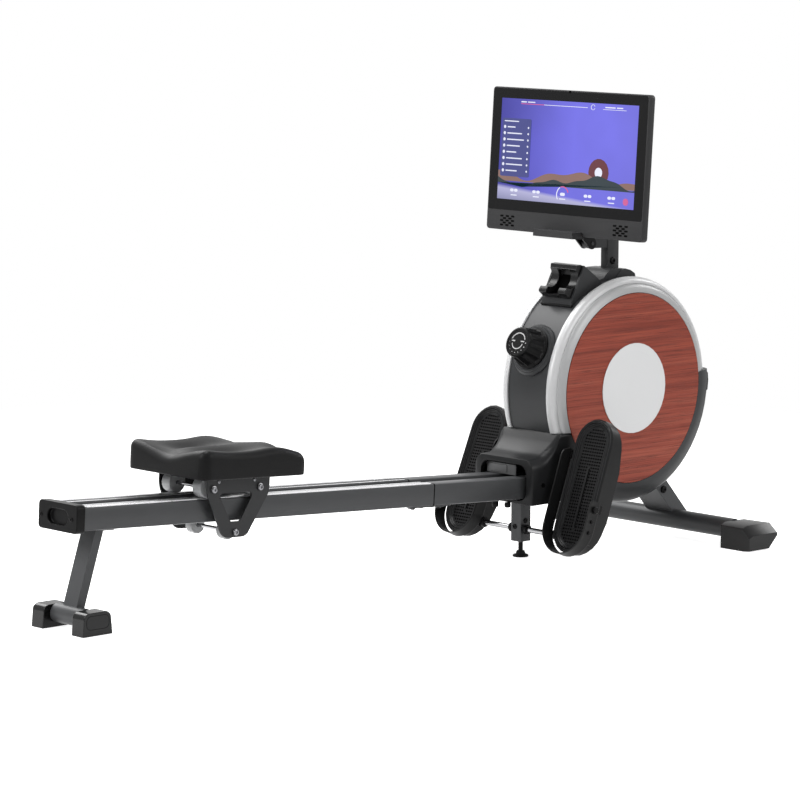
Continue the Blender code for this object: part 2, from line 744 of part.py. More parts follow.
def side_plate_outline():
    """The welded side plate: rail cradle, both shaft bearings, mast block and front strut."""
    return shift(
        [
            (-0.286, -0.2200),
            (-0.205, -0.2230),
            (-0.110, -0.2190),
            (-0.085, -0.2140),
            (0.060, -0.2140),
            (0.130, -0.1800),
            (0.085, -0.1150),
            (0.110, 0.0000),
            (0.095, 0.0800),
            (0.045, DRUM_R - 0.0245),
            (-0.020, DRUM_R - 0.0245),
            (-0.060, 0.0600),
            (-0.140, 0.0050),
            (-0.160, -0.0600),
            (-0.200, -0.1560),
            (-0.286, -0.1590),
        ]
    )


def make_main_frame(mats, rails):
    """Two side plates joined by the rail cradle, the neck block and the mast block."""
    frame = solid("main_frame", prism(side_plate_outline(), SIDE_Y, SIDE_Y + SIDE_T), mats["frame"])
    combine(frame, prism(side_plate_outline(), -SIDE_Y - SIDE_T, -SIDE_Y), "UNION")
    half = SIDE_Y + SIDE_T / 2
    top = -RAIL_H / 2 - GAP
    end = RAIL_END_U + STOP_T
    combine(frame, box(CRADLE_START_U, end, -half, half, top - CRADLE_T, top), "UNION", rails)
    stop = box(RAIL_END_U + GAP, end, -half, half, top - 0.001, RAIL_H / 2 + STOP_RISE)
    combine(frame, stop, "UNION", rails)
    block = box(MAST_X - BLOCK_HALF_X, MAST_X + BLOCK_HALF_X, -half, half, BLOCK_LOW_Z, BLOCK_HIGH_Z)
    combine(frame, block, "UNION")
    tie = box(DRUM_X - 0.030, DRUM_X + 0.020, -half, half, DRUM_Z - 0.198, DRUM_Z - 0.162)
    combine(frame, tie, "UNION")
    depth, width = MAST_D / 2 + GAP, MAST_W / 2 + GAP
    hole = box(MAST_X - depth, MAST_X + depth, -width, width, BLOCK_LOW_Z - 0.01, BLOCK_HIGH_Z + 0.01)
    combine(frame, hole)
    for x, z in ((SPOOL_X, SPOOL_Z), (FLY_X, FLY_Z)):
        bore = cylinder(SHAFT_R + PIVOT_GAP, -0.1, 0.1, "Y", 20)
        combine(frame, bore, "DIFFERENCE", None, (x, 0, z))
    x, z = magnet_pivot()
    combine(frame, cylinder(MAGNET_PIN_R + PIVOT_GAP, -0.1, 0, "Y", 12), "DIFFERENCE", None, (x, 0, z))


def make_centre_leg(mats):
    """The square leg under the rail cradle, and the levelling foot screwed into it."""
    half = LEG_TUBE / 2
    slope = math.tan(RAIL_SLOPE)
    under = rail_height(CENTRE_LEG_X) - (RAIL_H / 2 + GAP + CRADLE_T) / math.cos(RAIL_SLOPE) - GAP
    side = [
        (-half, LEG_BOTTOM_Z),
        (half, LEG_BOTTOM_Z),
        (half, under - slope * half),
        (-half, under + slope * half),
    ]
    leg = solid("centre_leg", prism(side, -half, half), mats["frame"], None, (CENTRE_LEG_X, 0, 0))
    inner = half - LEG_WALL
    hollow = box(-inner, inner, -inner, inner, LEG_BOTTOM_Z + 0.008, under + 0.02)
    combine(leg, hollow, "DIFFERENCE", None, (CENTRE_LEG_X, 0, 0))
    bore = cylinder(FOOT_STEM_R + PIVOT_GAP, LEG_BOTTOM_Z - 0.01, LEG_BOTTOM_Z + 0.02, "Z", 12)
    combine(leg, bore, "DIFFERENCE", None, (CENTRE_LEG_X, 0, 0))
    axle_hole = cylinder(PEDAL_AXLE_R + GAP, -0.1, 0.1, "Y", 16)
    combine(leg, axle_hole, "DIFFERENCE", None, (PEDAL_AXLE_X, 0, PEDAL_AXLE_Z))
    stem_top = PEDAL_AXLE_Z - PEDAL_AXLE_R - FOOT_TRAVEL - 0.0007
    profile = [(0, 0), (FOOT_R, 0), (FOOT_R, 0.004), (FOOT_R * 0.62, 0.0065), (FOOT_R * 0.5, FOOT_H)]
    profile += [(FOOT_STEM_R, FOOT_H), (FOOT_STEM_R, stem_top - 0.001)]
    profile += [(FOOT_STEM_R - 0.001, stem_top), (0, stem_top)]
    solid("levelling_foot", turned(profile, 16, axis="Z"), mats["black"], None, (CENTRE_LEG_X, 0, 0))


def make_drum_shells(mats, drum):
    """Two moulded half shells that meet on the centre plane, open for the rails, strut, mast and strap."""
    rim_in, disc_in = DRUM_R - SHELL_WALL, PANEL_R - SHELL_WALL
    for name, side in (("left", 1), ("right", -1)):
        profile = [
            (0, PANEL_SEAT_Y),
            (PANEL_R, PANEL_SEAT_Y),
            (PANEL_R, SHOULDER_Y),
            (DRUM_R, SHOULDER_Y),
            (DRUM_R, GAP / 2),
            (rim_in, GAP / 2),
            (rim_in, SHOULDER_Y - SHELL_WALL),
            (disc_in, SHOULDER_Y - SHELL_WALL),
            (disc_in, PANEL_SEAT_Y - SHELL_WALL),
            (0, PANEL_SEAT_Y - SHELL_WALL),
        ]
        half_shell = drum_turned([(r, side * y) for r, y in profile])
        shell = solid(f"drum_shell_{name}", half_shell, mats["shell"], drum)
        half = SHOULDER_Y - 0.004
        combine(shell, box(-0.255, -0.085, -half, half, -0.2300, -0.128), "DIFFERENCE", drum)
        combine(shell, strut_cutter())
        combine(shell, mast_cutter())
        combine(shell, strap_cutter())
        combine(shell, knob_bore(), "DIFFERENCE", None, (DRUM_X, 0, DRUM_Z))


def strut_cutter():
    half = STRUT_HALF_Y + 0.001
    return prism(strut_outline(0.001, STRUT_CUT_FROM, STRUT_L - 0.02), -half, half)


def mast_cutter():
    half_d, half_w = MAST_D / 2 + GAP, MAST_W / 2 + GAP
    return box(MAST_X - half_d, MAST_X + half_d, -half_w, half_w, DRUM_Z + DRUM_R - 0.0365, MAST_TOP_Z)


def strap_cutter():
    """The way of the pull strap, from the dock down to the spool."""
    low, high = DRUM_Z + DRUM_R - 0.0765, DRUM_Z + DRUM_R + 0.0155
    half = STRAP_WAY_T / 2
    return box(STRAP_WAY_X - half, STRAP_WAY_X + half, -STRAP_WAY_HALF_Y, STRAP_WAY_HALF_Y, low, high)


def knob_turn():
    """Turns a shape built along Z onto the knob's radius of the drum."""
    return Matrix.Rotation(math.radians(90 - KNOB_ANGLE), 4, "Y")


def knob_bore():
    bore = cylinder(KNOB_SHAFT_R + PIVOT_GAP, KNOB_SHAFT_END, KNOB_STEP_TOP + 0.01, "Z", 12)
    return moved(bore, knob_turn())


def rim_edge(side):
    """The stepped edge from the panel out to the bead, as (radius, distance from the centre plane)."""
    steps = [
        (RIM_INNER_R, RIM_FACE_Y),
        (DRUM_R - 0.0185, 0.0850),
        (DRUM_R - 0.0140, 0.0826),
        (DRUM_R - 0.0105, 0.0782),
        (DRUM_R - 0.0070, 0.0776),
        (DRUM_R - 0.0020, 0.0774),
        (DRUM_R + 0.0023, 0.0742),
        (RIM_R, 0.0680),
    ]
    return [(r, side * y) for r, y in steps]


def make_rims(mats, drum):
    """A silver rim on each side, from the front lower cover over the top to the neck cover."""
    inner_r = DRUM_R + GAP
    for name, side in (("left", 1), ("right", -1)):
        profile = rim_edge(side) + [(RIM_R - 0.0015, side * 0.0585), (inner_r, side * 0.0580)]
        profile += [(inner_r, side * (SHOULDER_Y + GAP)), (RIM_INNER_R, side * (SHOULDER_Y + GAP))]
        trim = math.degrees(GAP / DRUM_R)
        rim = solid(f"rim_ring_{name}", drum_turned(profile, 0, RIM_FACETS, trim), mats["silver"], drum)
        below = box(-0.30, -0.12, -0.1, 0.1, -0.25, RIM_CUT_Z - DRUM_Z)
        combine(rim, below, "DIFFERENCE", drum)


def make_side_panels(mats, drum):
    for name, side in (("left", 1), ("right", -1)):
        low, high = side * (PANEL_SEAT_Y + GAP), side * (PANEL_SEAT_Y + GAP + PANEL_T)
        panel = drum_turned([(0, low), (PANEL_R, low), (PANEL_R, high), (0, high)])
        solid(f"wood_panel_{name}", panel, mats["wood"], drum)
        low = high + side * GAP
        high = low + side * DISC_T
        solid(f"centre_disc_{name}", cylinder(DISC_R, low, high, "Y", 40), mats["disc"], drum)


def make_front_cover(mats, drum):
    """The dark lower front of the drum: it stands a little proud of the rims and ends in a raised pad."""
    inner_r = DRUM_R + GAP
    half = [
        (inner_r, SHOULDER_Y + GAP),
        (RIM_INNER_R, SHOULDER_Y + GAP),
        (RIM_INNER_R, RIM_FACE_Y),
        (RIM_INNER_R + 0.010, RIM_FACE_Y - 0.0008),
        (COVER_R - 0.011, RIM_FACE_Y - 0.0040),
        (COVER_R - 0.003, RIM_FACE_Y - 0.0110),
        (COVER_R, RIM_FACE_Y - 0.0180),
    ]
    profile = [(r, -y) for r, y in half] + half[::-1]
    cover = solid("front_lower_cover", drum_turned(profile, -COVER_FACETS, COVER_FACETS), mats["shell"], drum)
    combine(cover, strut_cutter())
    rings = []
    for angle, top in (
        (BUMP_FROM, COVER_R + 0.0008),
        (BUMP_FROM + 2.5, BUMP_R - 0.001),
        (BUMP_FROM + 7.0, BUMP_R),
        (BUMP_TO - 3.0, BUMP_R - 0.002),
        (BUMP_TO, COVER_R + 0.0012),
    ):
        cos, sin = math.cos(math.radians(angle)), math.sin(math.radians(angle))
        bevel = (top - COVER_R) * 0.2
        half = [(COVER_R - 0.002, BUMP_HALF_Y), (top - bevel, BUMP_HALF_Y), (top, BUMP_HALF_Y - bevel)]
        across = half + [(r, -y) for r, y in reversed(half)]
        rings.append([(r * cos, y, r * sin) for r, y in across])
    combine(cover, lofted(rings), "UNION", drum)


def neck_form(inset, start, floor):
    """The neck's outside, or its inside when drawn in: sections across it from the mouth to the drum."""
    lip, top = NECK_LIP_Z - DRUM_Z, NECK_TOP_Z - DRUM_Z
    rings = []
    for x, height, corner in (
        (start, lip, NECK_LIP_CORNER),
        (-0.276, lip + 0.001, NECK_LIP_CORNER),
        (-0.262, lip + 0.009, NECK_LIP_CORNER),
        (-0.247, top - 0.028, NECK_LIP_CORNER * 0.85),
        (-0.235, top - 0.015, NECK_LIP_CORNER * 0.65),
        (-0.229, top - 0.005, NECK_LIP_CORNER * 0.45),
        (-0.224, top, NECK_LIP_CORNER * 0.35),
        (-0.150, top, NECK_LIP_CORNER * 0.35),
        (-0.100, -0.100, NECK_LIP_CORNER * 0.35),
    ):
        half, radius = NECK_HALF_Y - inset, corner - inset
        high = height - inset
        ring = [(half, floor), (half, high - radius)] + arc(half - radius, high - radius, radius, 15, 75, 4)
        ring += [(half - radius, high)]
        ring += [(-y, z) for y, z in reversed(ring)]
        rings.append([(x + DRUM_X, y, z + DRUM_Z) for y, z in ring])
    return lofted(rings)


def make_neck_cover(mats):
    """The moulded saddle between the rails' mouth and the drum, hollow, with a lipped mouth."""
    low = NECK_BOTTOM_Z - DRUM_Z
    rear = NECK_X - DRUM_X
    cover = solid("neck_cover", neck_form(0.0, rear, low), mats["shell"])
    soften(cover, 0.005, 2, 50)
    end = math.radians(RIM_START - COVER_FACETS * 360.0 / DRUM_FACETS - 0.1)
    foot = (RIM_R * math.cos(end), RIM_R * math.sin(end))
    front = [(foot[0] - 0.002, low - 0.01), foot, (foot[0] * 0.86, foot[1] * 0.86)]
    front += [(0.05, -0.10), (0.05, low - 0.01)]
    combine(cover, prism(shift(front), -0.1, 0.1))
    combine(cover, neck_form(NECK_WALL, rear + 0.010, low + NECK_FLOOR))
    mouth = rounded(-MOUTH_HALF_Y, MOUTH_HALF_Y, MOUTH_BOTTOM_Z, MOUTH_TOP_Z, MOUTH_CORNER, 5)
    combine(cover, prism(mouth, NECK_X - 0.02, NECK_X + 0.03, "X"))
    centre = (DRUM_X, 0, DRUM_Z)
    band_half = SHOULDER_Y + GAP
    combine(cover, drum_cylinder(DRUM_R + GAP, band_half), "DIFFERENCE", None, centre)
    combine(cover, drum_cylinder(RIM_INNER_R, 0.1), "DIFFERENCE", None, centre)
    half = LEG_TUBE / 2 + 0.0005
    rear, front = CENTRE_LEG_X - half, CENTRE_LEG_X + half
    combine(cover, box(rear, front, -half, half, NECK_BOTTOM_Z - 0.01, NECK_BOTTOM_Z + 0.01))


def on_drum(points):
    """Points whose second value is a height over the top of the drum, set out from its centre."""
    return [(x, DRUM_R + z) for x, z in points]


def make_top_cover(mats, drum):
    """The body-coloured cover on top: the dock's wedge at the rear, and the collar round the mast."""
    wedge = [(-0.151, -0.0515), (-0.151, -0.0420), (-0.112, 0.0332), (-0.060, -0.0035)]
    wedge += [(-0.060, -0.0315), (-0.120, -0.0765)]
    cover = solid("top_cover", prism(on_drum(wedge), -DOCK_HALF_Y, DOCK_HALF_Y), mats["shell"], drum)
    collar = [(-0.062, -0.0315), (-0.062, -0.0020), (-0.046, 0.0010), (-0.036, 0.0100), (-0.025, 0.0175)]
    collar += [(-0.018, 0.0190), (0.010, 0.0190), (0.022, 0.0130), (0.036, 0.0020), (0.036, -0.0315)]
    combine(cover, prism(on_drum(collar), -COLLAR_HALF_Y, COLLAR_HALF_Y), "UNION", drum)
    lug = [(-0.005, -0.0300), (-0.005, 0.0045), (0.009, 0.0167), (0.0215, 0.0183), (0.0375, 0.0142)]
    lug += [(0.0515, 0.0062), (0.0542, -0.0027), (0.050, -0.0300)]
    for side in (1, -1):
        low, high = sorted((side * LUG_IN_Y, side * (COLLAR_HALF_Y + 0.001)))
        combine(cover, prism(on_drum(lug), low, high), "UNION", drum)
    combine(cover, drum_cylinder(DRUM_R + GAP, 0.1), "DIFFERENCE", drum)
    combine(cover, mast_cutter())
    combine(cover, strap_cutter())
    half = CRADLE_HALF_Y + GAP
    combine(cover, prism(dock_outline(GAP), -half, half), "DIFFERENCE", drum)


def dock_outline(extra):
    """The handle dock from the side, given from the drum centre and grown forward by extra."""
    return on_drum(
        [
            (-0.1150 + extra, 0.0350),
            (-0.1290, 0.0340),
            (-0.1300, 0.0255),
            (-0.1650, -0.0195),
            (-0.1655, -0.0245),
            (-0.1520, -0.0355),
            (-0.1340 + extra, -0.0325 - extra),
            (-0.1080 + extra, 0.0195),
        ]
    )


def make_handle_dock(mats, drum):
    """Two curved hooks with a slot between them, where the pull handle rests."""
    dock = solid("handle_dock", prism(dock_outline(0.0), -CRADLE_HALF_Y, CRADLE_HALF_Y), mats["black"], drum)
    bar = cylinder(HANDLE_REST_R, -0.1, 0.1, "Y", 28)
    combine(dock, bar, "DIFFERENCE", drum, (-0.1500, 0, DRUM_R + 0.0095))
    half = CRADLE_SLOT_HALF_Y
    combine(dock, box(-0.20, -0.1165, -half, half, DRUM_R - 0.0285, DRUM_R + 0.0235), "DIFFERENCE", drum)
    combine(dock, strap_cutter())


def make_knob(mats, drum):
    """The raised ring on the drum band, and the fluted knob on its shaft."""
    axis = empty("knob_axis", (0, 0, 0), math.radians(90 - KNOB_ANGLE), drum)
    hole = KNOB_SHAFT_R + PIVOT_GAP
    profile = [
        (hole, KNOB_BASE_LOW),
        (KNOB_BASE_R, KNOB_BASE_LOW),
        (KNOB_BASE_R, KNOB_BASE_TOP - 0.004),
        (KNOB_BASE_R - 0.004, KNOB_BASE_TOP),
        (KNOB_STEP_R + 0.002, KNOB_BASE_TOP),
        (KNOB_STEP_R, KNOB_STEP_TOP),
        (hole, KNOB_STEP_TOP),
    ]
    base = solid("knob_base", turned(profile, 32, axis="Z"), mats["shell"], axis)
    combine(base, drum_cylinder(DRUM_R + GAP, 0.1), "DIFFERENCE", drum)
    rings = []
    count = KNOB_FLUTES * 3
    low = KNOB_STEP_TOP + GAP
    for level, radius, depth in (
        (low, KNOB_FLANGE_R, 0.0),
        (low + 0.004, KNOB_FLANGE_R, 0.0),
        (low + 0.005, KNOB_FOOT_R, 0.0025),
        (KNOB_FACE - 0.008, KNOB_FACE_R + 0.001, 0.0025),
        (KNOB_FACE - 0.006, KNOB_FACE_R, 0.0),
        (KNOB_FACE - 0.001, KNOB_FACE_R - 0.001, 0.0),
        (KNOB_FACE, KNOB_FACE_R - 0.003, 0.0),
    ):
        ring = []
        for k in range(count):
            angle = 2 * math.pi * k / count
            r = radius - depth * (0.5 - 0.5 * math.cos(KNOB_FLUTES * angle))
            ring.append((r * math.cos(angle), r * math.sin(angle), level))
        rings.append(ring)
    knob = solid("resistance_knob", lofted(rings), mats["black"], axis)
    combine(knob, cylinder(KNOB_SHAFT_R, KNOB_SHAFT_END + 0.004, low + 0.002, "Z", 12), "UNION", axis)


def belt_loop(extra):
    """The belt's outline round both pulleys, grown outward by extra."""
    dx, dz = FLY_X - SPOOL_X, FLY_Z - SPOOL_Z
    span = math.hypot(dx, dz)
    heading = math.degrees(math.atan2(dz, dx))
    lean = math.degrees(math.acos((DRIVE_R - SMALL_R) / span))
    big = arc(SPOOL_X, SPOOL_Z, DRIVE_R + extra, heading + lean, heading + 360 - lean, 24)
    small = arc(FLY_X, FLY_Z, SMALL_R + extra, heading - lean, heading + lean, 9)
    return big + small


def make_inner_works(mats):
    """Flywheel and axle, belt, drive pulley with the strap spool, wound strap and recoil spring."""
    end = SHAFT_HALF
    low, high = BELT_Y - BELT_W / 2 - 0.001, BELT_Y + BELT_W / 2 + 0.001
    axle = [(0, -end), (SHAFT_R, -end), (SHAFT_R, low - 0.002), (SMALL_R + PULLEY_FLANGE, low - 0.002)]
    axle += [(SMALL_R + PULLEY_FLANGE, low), (SMALL_R, low), (SMALL_R, high), (SMALL_R + PULLEY_FLANGE, high)]
    axle += [(SMALL_R + PULLEY_FLANGE, high + 0.002), (SHAFT_R, high + 0.002), (SHAFT_R, end), (0, end)]
    solid("flywheel_axle", turned(axle, 16), mats["steel"], None, (FLY_X, 0, FLY_Z))
    rim, web, bore = FLY_RIM_T / 2, FLY_WEB_T / 2, SHAFT_R + GAP
    half = [(bore, rim), (FLY_HUB_R, rim), (FLY_HUB_R + 0.002, web), (FLY_RIM_IN - 0.003, web)]
    half += [(FLY_RIM_IN, rim), (FLY_R, rim)]
    wheel = [(r, -t) for r, t in half] + [(r, t) for r, t in reversed(half)]
    solid("flywheel", turned(wheel, 28), mats["iron"], None, (FLY_X, FLY_Y, FLY_Z))
    pulley = [(0, -end), (SHAFT_R, -end), (SHAFT_R, SPOOL_IN_Y), (SPOOL_FLANGE_R, SPOOL_IN_Y)]
    pulley += [(SPOOL_FLANGE_R, SPOOL_IN_Y + 0.002), (SPOOL_CORE_R, SPOOL_IN_Y + 0.002)]
    pulley += [(SPOOL_CORE_R, low - 0.002), (DRIVE_R + PULLEY_FLANGE, low - 0.002)]
    pulley += [(DRIVE_R + PULLEY_FLANGE, low), (DRIVE_R, low), (DRIVE_R, high)]
    pulley += [(DRIVE_R + PULLEY_FLANGE, high), (DRIVE_R + PULLEY_FLANGE, high + 0.002)]
    pulley += [(SHAFT_R + 0.010, high + 0.002), (SHAFT_R, high + 0.006), (SHAFT_R, end), (0, end)]
    solid("drive_pulley", turned(pulley, 24), mats["black"], None, (SPOOL_X, 0, SPOOL_Z))
    strap = [(SPOOL_CORE_R + GAP, SPOOL_IN_Y + 0.003), (WOUND_R, SPOOL_IN_Y + 0.003)]
    strap += [(WOUND_R, low - 0.003), (SPOOL_CORE_R + GAP, low - 0.003)]
    solid("wound_strap", turned(strap, 24), mats["webbing"], None, (SPOOL_X, 0, SPOOL_Z))
    drum = [(SHAFT_R + PIVOT_GAP, -SIDE_Y + GAP), (SPRING_R, -SIDE_Y + GAP), (SPRING_R, SPRING_IN_Y)]
    drum += [(SHAFT_R + PIVOT_GAP, SPRING_IN_Y)]
    solid("recoil_spring_drum", turned(drum, 20), mats["iron"], None, (SPOOL_X, 0, SPOOL_Z))
    belt = hollow_prism(belt_loop(GAP + BELT_T), belt_loop(GAP), BELT_Y - BELT_W / 2, BELT_Y + BELT_W / 2)
    solid("drive_belt", belt, mats["rubber"])


def magnet_pivot():
    angle = math.radians(MAGNET_FROM)
    radius = FLY_R + MAGNET_GAP + MAGNET_T / 2
    return FLY_X + radius * math.cos(angle), FLY_Z + radius * math.sin(angle)


def make_magnet_bracket(mats):
    """The curved magnet carrier over the flywheel's rim, swung open on its pin in the right side plate."""
    x, z = magnet_pivot()
    inner, outer = FLY_R + MAGNET_GAP, FLY_R + MAGNET_GAP + MAGNET_T
    outline = arc(FLY_X - x, FLY_Z - z, outer, MAGNET_FROM, MAGNET_TO, 9)
    outline += arc(FLY_X - x, FLY_Z - z, inner, MAGNET_TO, MAGNET_FROM, 9)
    low, high = FLY_Y - MAGNET_W / 2, FLY_Y + MAGNET_W / 2
    swing = empty("magnet_pivot", (x, 0, z), MAGNET_OPEN)
    bracket = solid("magnet_bracket", prism(outline, low, high), mats["iron"], swing)
    combine(bracket, cylinder(MAGNET_T / 2, low, high, "Y", 14), "UNION", swing)
    pin = cylinder(MAGNET_PIN_R, -SIDE_Y - SIDE_T, low + 0.002, "Y", 12)
    combine(bracket, pin, "UNION", swing)


def make_cable(mats):
    """The cable from the knob's shaft to the free end of the magnet bracket."""
    angle = math.radians(KNOB_ANGLE)
    start_r = KNOB_SHAFT_END + 0.004 - GAP
    start = (DRUM_X + start_r * math.cos(angle), 0.0, DRUM_Z + start_r * math.sin(angle))
    end_angle = math.radians(MAGNET_TO - 4)
    end_r = FLY_R + MAGNET_GAP + MAGNET_T + CABLE_R + 0.0006
    pin_x, pin_z = magnet_pivot()
    dx, dz = FLY_X + end_r * math.cos(end_angle) - pin_x, FLY_Z + end_r * math.sin(end_angle) - pin_z
    sin, cos = math.sin(MAGNET_OPEN), math.cos(MAGNET_OPEN)
    end = (pin_x + dx * cos + dz * sin, FLY_Y + 0.006, pin_z - dx * sin + dz * cos)
    towards = (math.cos(angle), math.sin(angle))
    curve = bpy.data.curves.new("tension_cable", "CURVE")
    curve.dimensions = "3D"
    curve.bevel_depth = CABLE_R
    curve.bevel_resolution = 2
    curve.use_fill_caps = True
    spline = curve.splines.new("POLY")
    count = 14
    spline.points.add(count - 1)
    handle = (start[0] - 0.05 * towards[0], 0.0, start[2] - 0.05 * towards[1])
    other = (end[0] - 0.02, end[1] + 0.01, end[2] + 0.045)
    for k in range(count):
        t = k / (count - 1)
        a, b, c, d = (1 - t) ** 3, 3 * t * (1 - t) ** 2, 3 * t * t * (1 - t), t**3
        point = [a * p + b * q + c * r + d * s for p, q, r, s in zip(start, handle, other, end)]
        spline.points[k].co = (*point, 1.0)
    curve.materials.append(mats["rubber"])
    obj = bpy.data.objects.new("tension_cable", curve)
    bpy.context.scene.collection.objects.link(obj)


def make_mast(mats):
    """A box tube out of the drum, with a neck to the tilt knuckle and the knuckle's pin."""
    half_d, half_w = MAST_D / 2, MAST_W / 2
    bore_d, bore_w = half_d - MAST_WALL, half_w - MAST_WALL
    outer = rounded(-half_d, half_d, -half_w, half_w, 0.003, 2)
    inner = rounded(-bore_d, bore_d, -bore_w, bore_w, 0.001, 2)
    tube = hollow_prism(outer, inner, MAST_BOTTOM_Z, MAST_TOP_Z, "Z")
    mast = solid("mast", tube, mats["black"], None, (MAST_X, 0, 0))
    dx = KNUCKLE_X - MAST_X
    root = -half_d + 0.0015
    neck = [(root, KNUCKLE_Z - 0.012), (root, KNUCKLE_Z + 0.036)] + arc(dx, KNUCKLE_Z, KNUCKLE_R, 75, 285, 9)
    combine(mast, prism(neck, -KNUCKLE_HALF_Y, KNUCKLE_HALF_Y), "UNION", None, (MAST_X, 0, 0))
    pin_half = KNUCKLE_HALF_Y + EAR_T + 0.002
    pin = cylinder(TILT_PIN_R, -pin_half, pin_half, "Y", 14)
    combine(mast, pin, "UNION", None, (KNUCKLE_X, 0, KNUCKLE_Z))


def make_screen(mats):
    """Bracket, housing with its lower ledge, and glass, all on the tilt axis."""
    tilt = empty("screen_tilt", (KNUCKLE_X, 0, KNUCKLE_Z), SCREEN_TILT)
    back = SCREEN_FRONT + SCREEN_T + BULGE_T
    plate_front = back + GAP
    plate_back = plate_front + BRACKET_T
    plate = rounded(-BRACKET_W / 2, BRACKET_W / 2, 0.020, 0.020 + BRACKET_H, 0.008, 2)
    bracket = solid("screen_bracket", prism(plate, plate_front, plate_back, "X"), mats["black"], tilt)
    for side in (1, -1):
        low, high = sorted((side * (KNUCKLE_HALF_Y + GAP * 2), side * (KNUCKLE_HALF_Y + GAP * 2 + EAR_T)))
        ear = arc(0, 0, EAR_R, -120, 45, 8) + [(plate_back - 0.001, 0.055), (plate_front + 0.001, 0.055)]
        ear += [(plate_front + 0.001, 0.021)]
        combine(bracket, prism(ear, low, high), "UNION", tilt)
    combine(bracket, cylinder(TILT_PIN_R + PIVOT_GAP, -0.03, 0.03, "Y", 14), "DIFFERENCE", tilt)
    face = rounded(-SCREEN_W / 2, SCREEN_W / 2, SCREEN_BOTTOM, SCREEN_BOTTOM + SCREEN_H, SCREEN_CORNER, 4)
    housing = solid(
        "screen_housing", prism(face, SCREEN_FRONT, SCREEN_FRONT + SCREEN_T, "X"), mats["black"], tilt
    )
    soften(housing, 0.0015)
    middle = SCREEN_BOTTOM + SCREEN_H / 2 - 0.02
    bulge = rounded(-BULGE_W / 2, BULGE_W / 2, middle - BULGE_H / 2, middle + BULGE_H / 2, 0.02, 4)
    combine(housing, prism(bulge, SCREEN_FRONT + SCREEN_T - 0.003, back, "X"), "UNION", tilt)
    front, half = SCREEN_FRONT - LEDGE_D, LEDGE_W / 2
    combine(housing, box(front, SCREEN_FRONT + 0.006, -half, half, LEDGE_LOW, LEDGE_HIGH), "UNION", tilt)
    half = SCREEN_W / 2 - GLASS_MARGIN
    top = SCREEN_BOTTOM + SCREEN_H - GLASS_MARGIN
    recess = rounded(-half - GAP, half + GAP, top - GLASS_H - GAP, top + GAP, 0.0055, 4)
    pocket = prism(recess, SCREEN_FRONT - 0.01, SCREEN_FRONT + GLASS_T + GAP, "X")
    combine(housing, pocket, "DIFFERENCE", tilt)
    glass = rounded(-half, half, top - GLASS_H, top, 0.005, 4)
    solid("display_panel", prism(glass, SCREEN_FRONT, SCREEN_FRONT + GLASS_T, "X"), mats["glass"], tilt)


def stadium(inset, count=10):
    """The footplate's outline, across and along the plate, drawn in by inset."""
    radius = PEDAL_HALF_W - inset
    high, low = PEDAL_HIGH - PEDAL_HALF_W, PEDAL_LOW + PEDAL_HALF_W
    return arc(0, high, radius, 0, 180, count) + arc(0, low, radius, 180, 360, count)


def make_pedal(mats, name, side, pivot):
    """An oval plate with stepped ridges, a raised rib and a skirt, bored for the axle."""
    rear, front = -PEDAL_REAR, PEDAL_FRONT
    levels = [
        (PEDAL_WALL, rear + 0.013),
        (PEDAL_WALL, front),
        (0.0, front),
        (0.0, rear + 0.003),
        (0.003, rear),
        (0.008, rear),
        (0.0095, rear + 0.0025),
        (0.0110, rear + 0.0010),
        (0.0165, rear + 0.0060),
    ]
    rings = [[(depth, y, z) for y, z in stadium(inset)] for inset, depth in levels]
    pedal = solid(f"pedal_{name}", lofted(rings), mats["black"], pivot)
    heel = [(front + 0.001, 0.050), (HEEL_DEPTH, PEDAL_LOW - 0.001), (front + 0.001, PEDAL_LOW - 0.001)]
    toe = [(front + 0.001, 0.150), (front + 0.001, PEDAL_HIGH + 0.001), (TOE_DEPTH, PEDAL_HIGH + 0.001)]
    for outline in (heel, toe):
        combine(pedal, prism(outline, -PEDAL_HALF_W * 1.1, PEDAL_HALF_W * 1.1), "DIFFERENCE", pivot)
    rib = rounded(-0.003, 0.003, 0.020, 0.150, 0.0029, 3)
    combine(pedal, prism(rib, rear + 0.0035, rear + 0.008, "X"), "UNION", pivot)
    reach = math.sqrt(PEDAL_HALF_W**2 - (PEDAL_LOW + PEDAL_HALF_W) ** 2) - 0.001
    combine(pedal, cylinder(PEDAL_BOSS_R, -reach, reach, "Y", 16), "UNION", pivot)
    inner, outer = sorted((-side * PEDAL_HALF_W * 1.1, side * (reach - 0.006)))
    combine(pedal, cylinder(PEDAL_AXLE_R + PIVOT_GAP, inner, outer, "Y", 16), "DIFFERENCE", pivot)


def strap_path(offset, side):
    """The strap's run round the heel, from the inner side to the outer side."""
    radius = PEDAL_HALF_W + offset
    low = PEDAL_LOW + PEDAL_HALF_W
    inner = [(-side * radius, STRAP_INNER_U)]
    outer = [(side * radius, STRAP_OUTER_U)]
    turn = arc(0, low, radius, 180, 360, 18)
    if side < 0:
        turn = [(-y, z) for y, z in turn]
    return inner + turn + outer


def make_pedal_strap(mats, name, side, pivot):
    """A wide strap on edge that runs round the heel of the footplate."""
    points = strap_path(STRAP_OFFSET + STRAP_T, side) + strap_path(STRAP_OFFSET, side)[::-1]
    strap = solid(
        f"pedal_strap_{name}", prism(points, -STRAP_HIGH_N, -STRAP_LOW_N, "X"), mats["webbing"], pivot
    )
    radius = PEDAL_HALF_W + STRAP_OFFSET
    pads = ((-side, STRAP_INNER_U - 0.010), (side, STRAP_OUTER_U + 0.008))
    for way, height in pads:
        low, high = sorted((way * (PEDAL_HALF_W + GAP), way * (radius + STRAP_T / 2)))
        pad = box(-PEDAL_REAR - 0.001, -STRAP_LOW_N + 0.010, low, high, height - 0.012, height + 0.008)
        combine(strap, pad, "UNION", pivot)


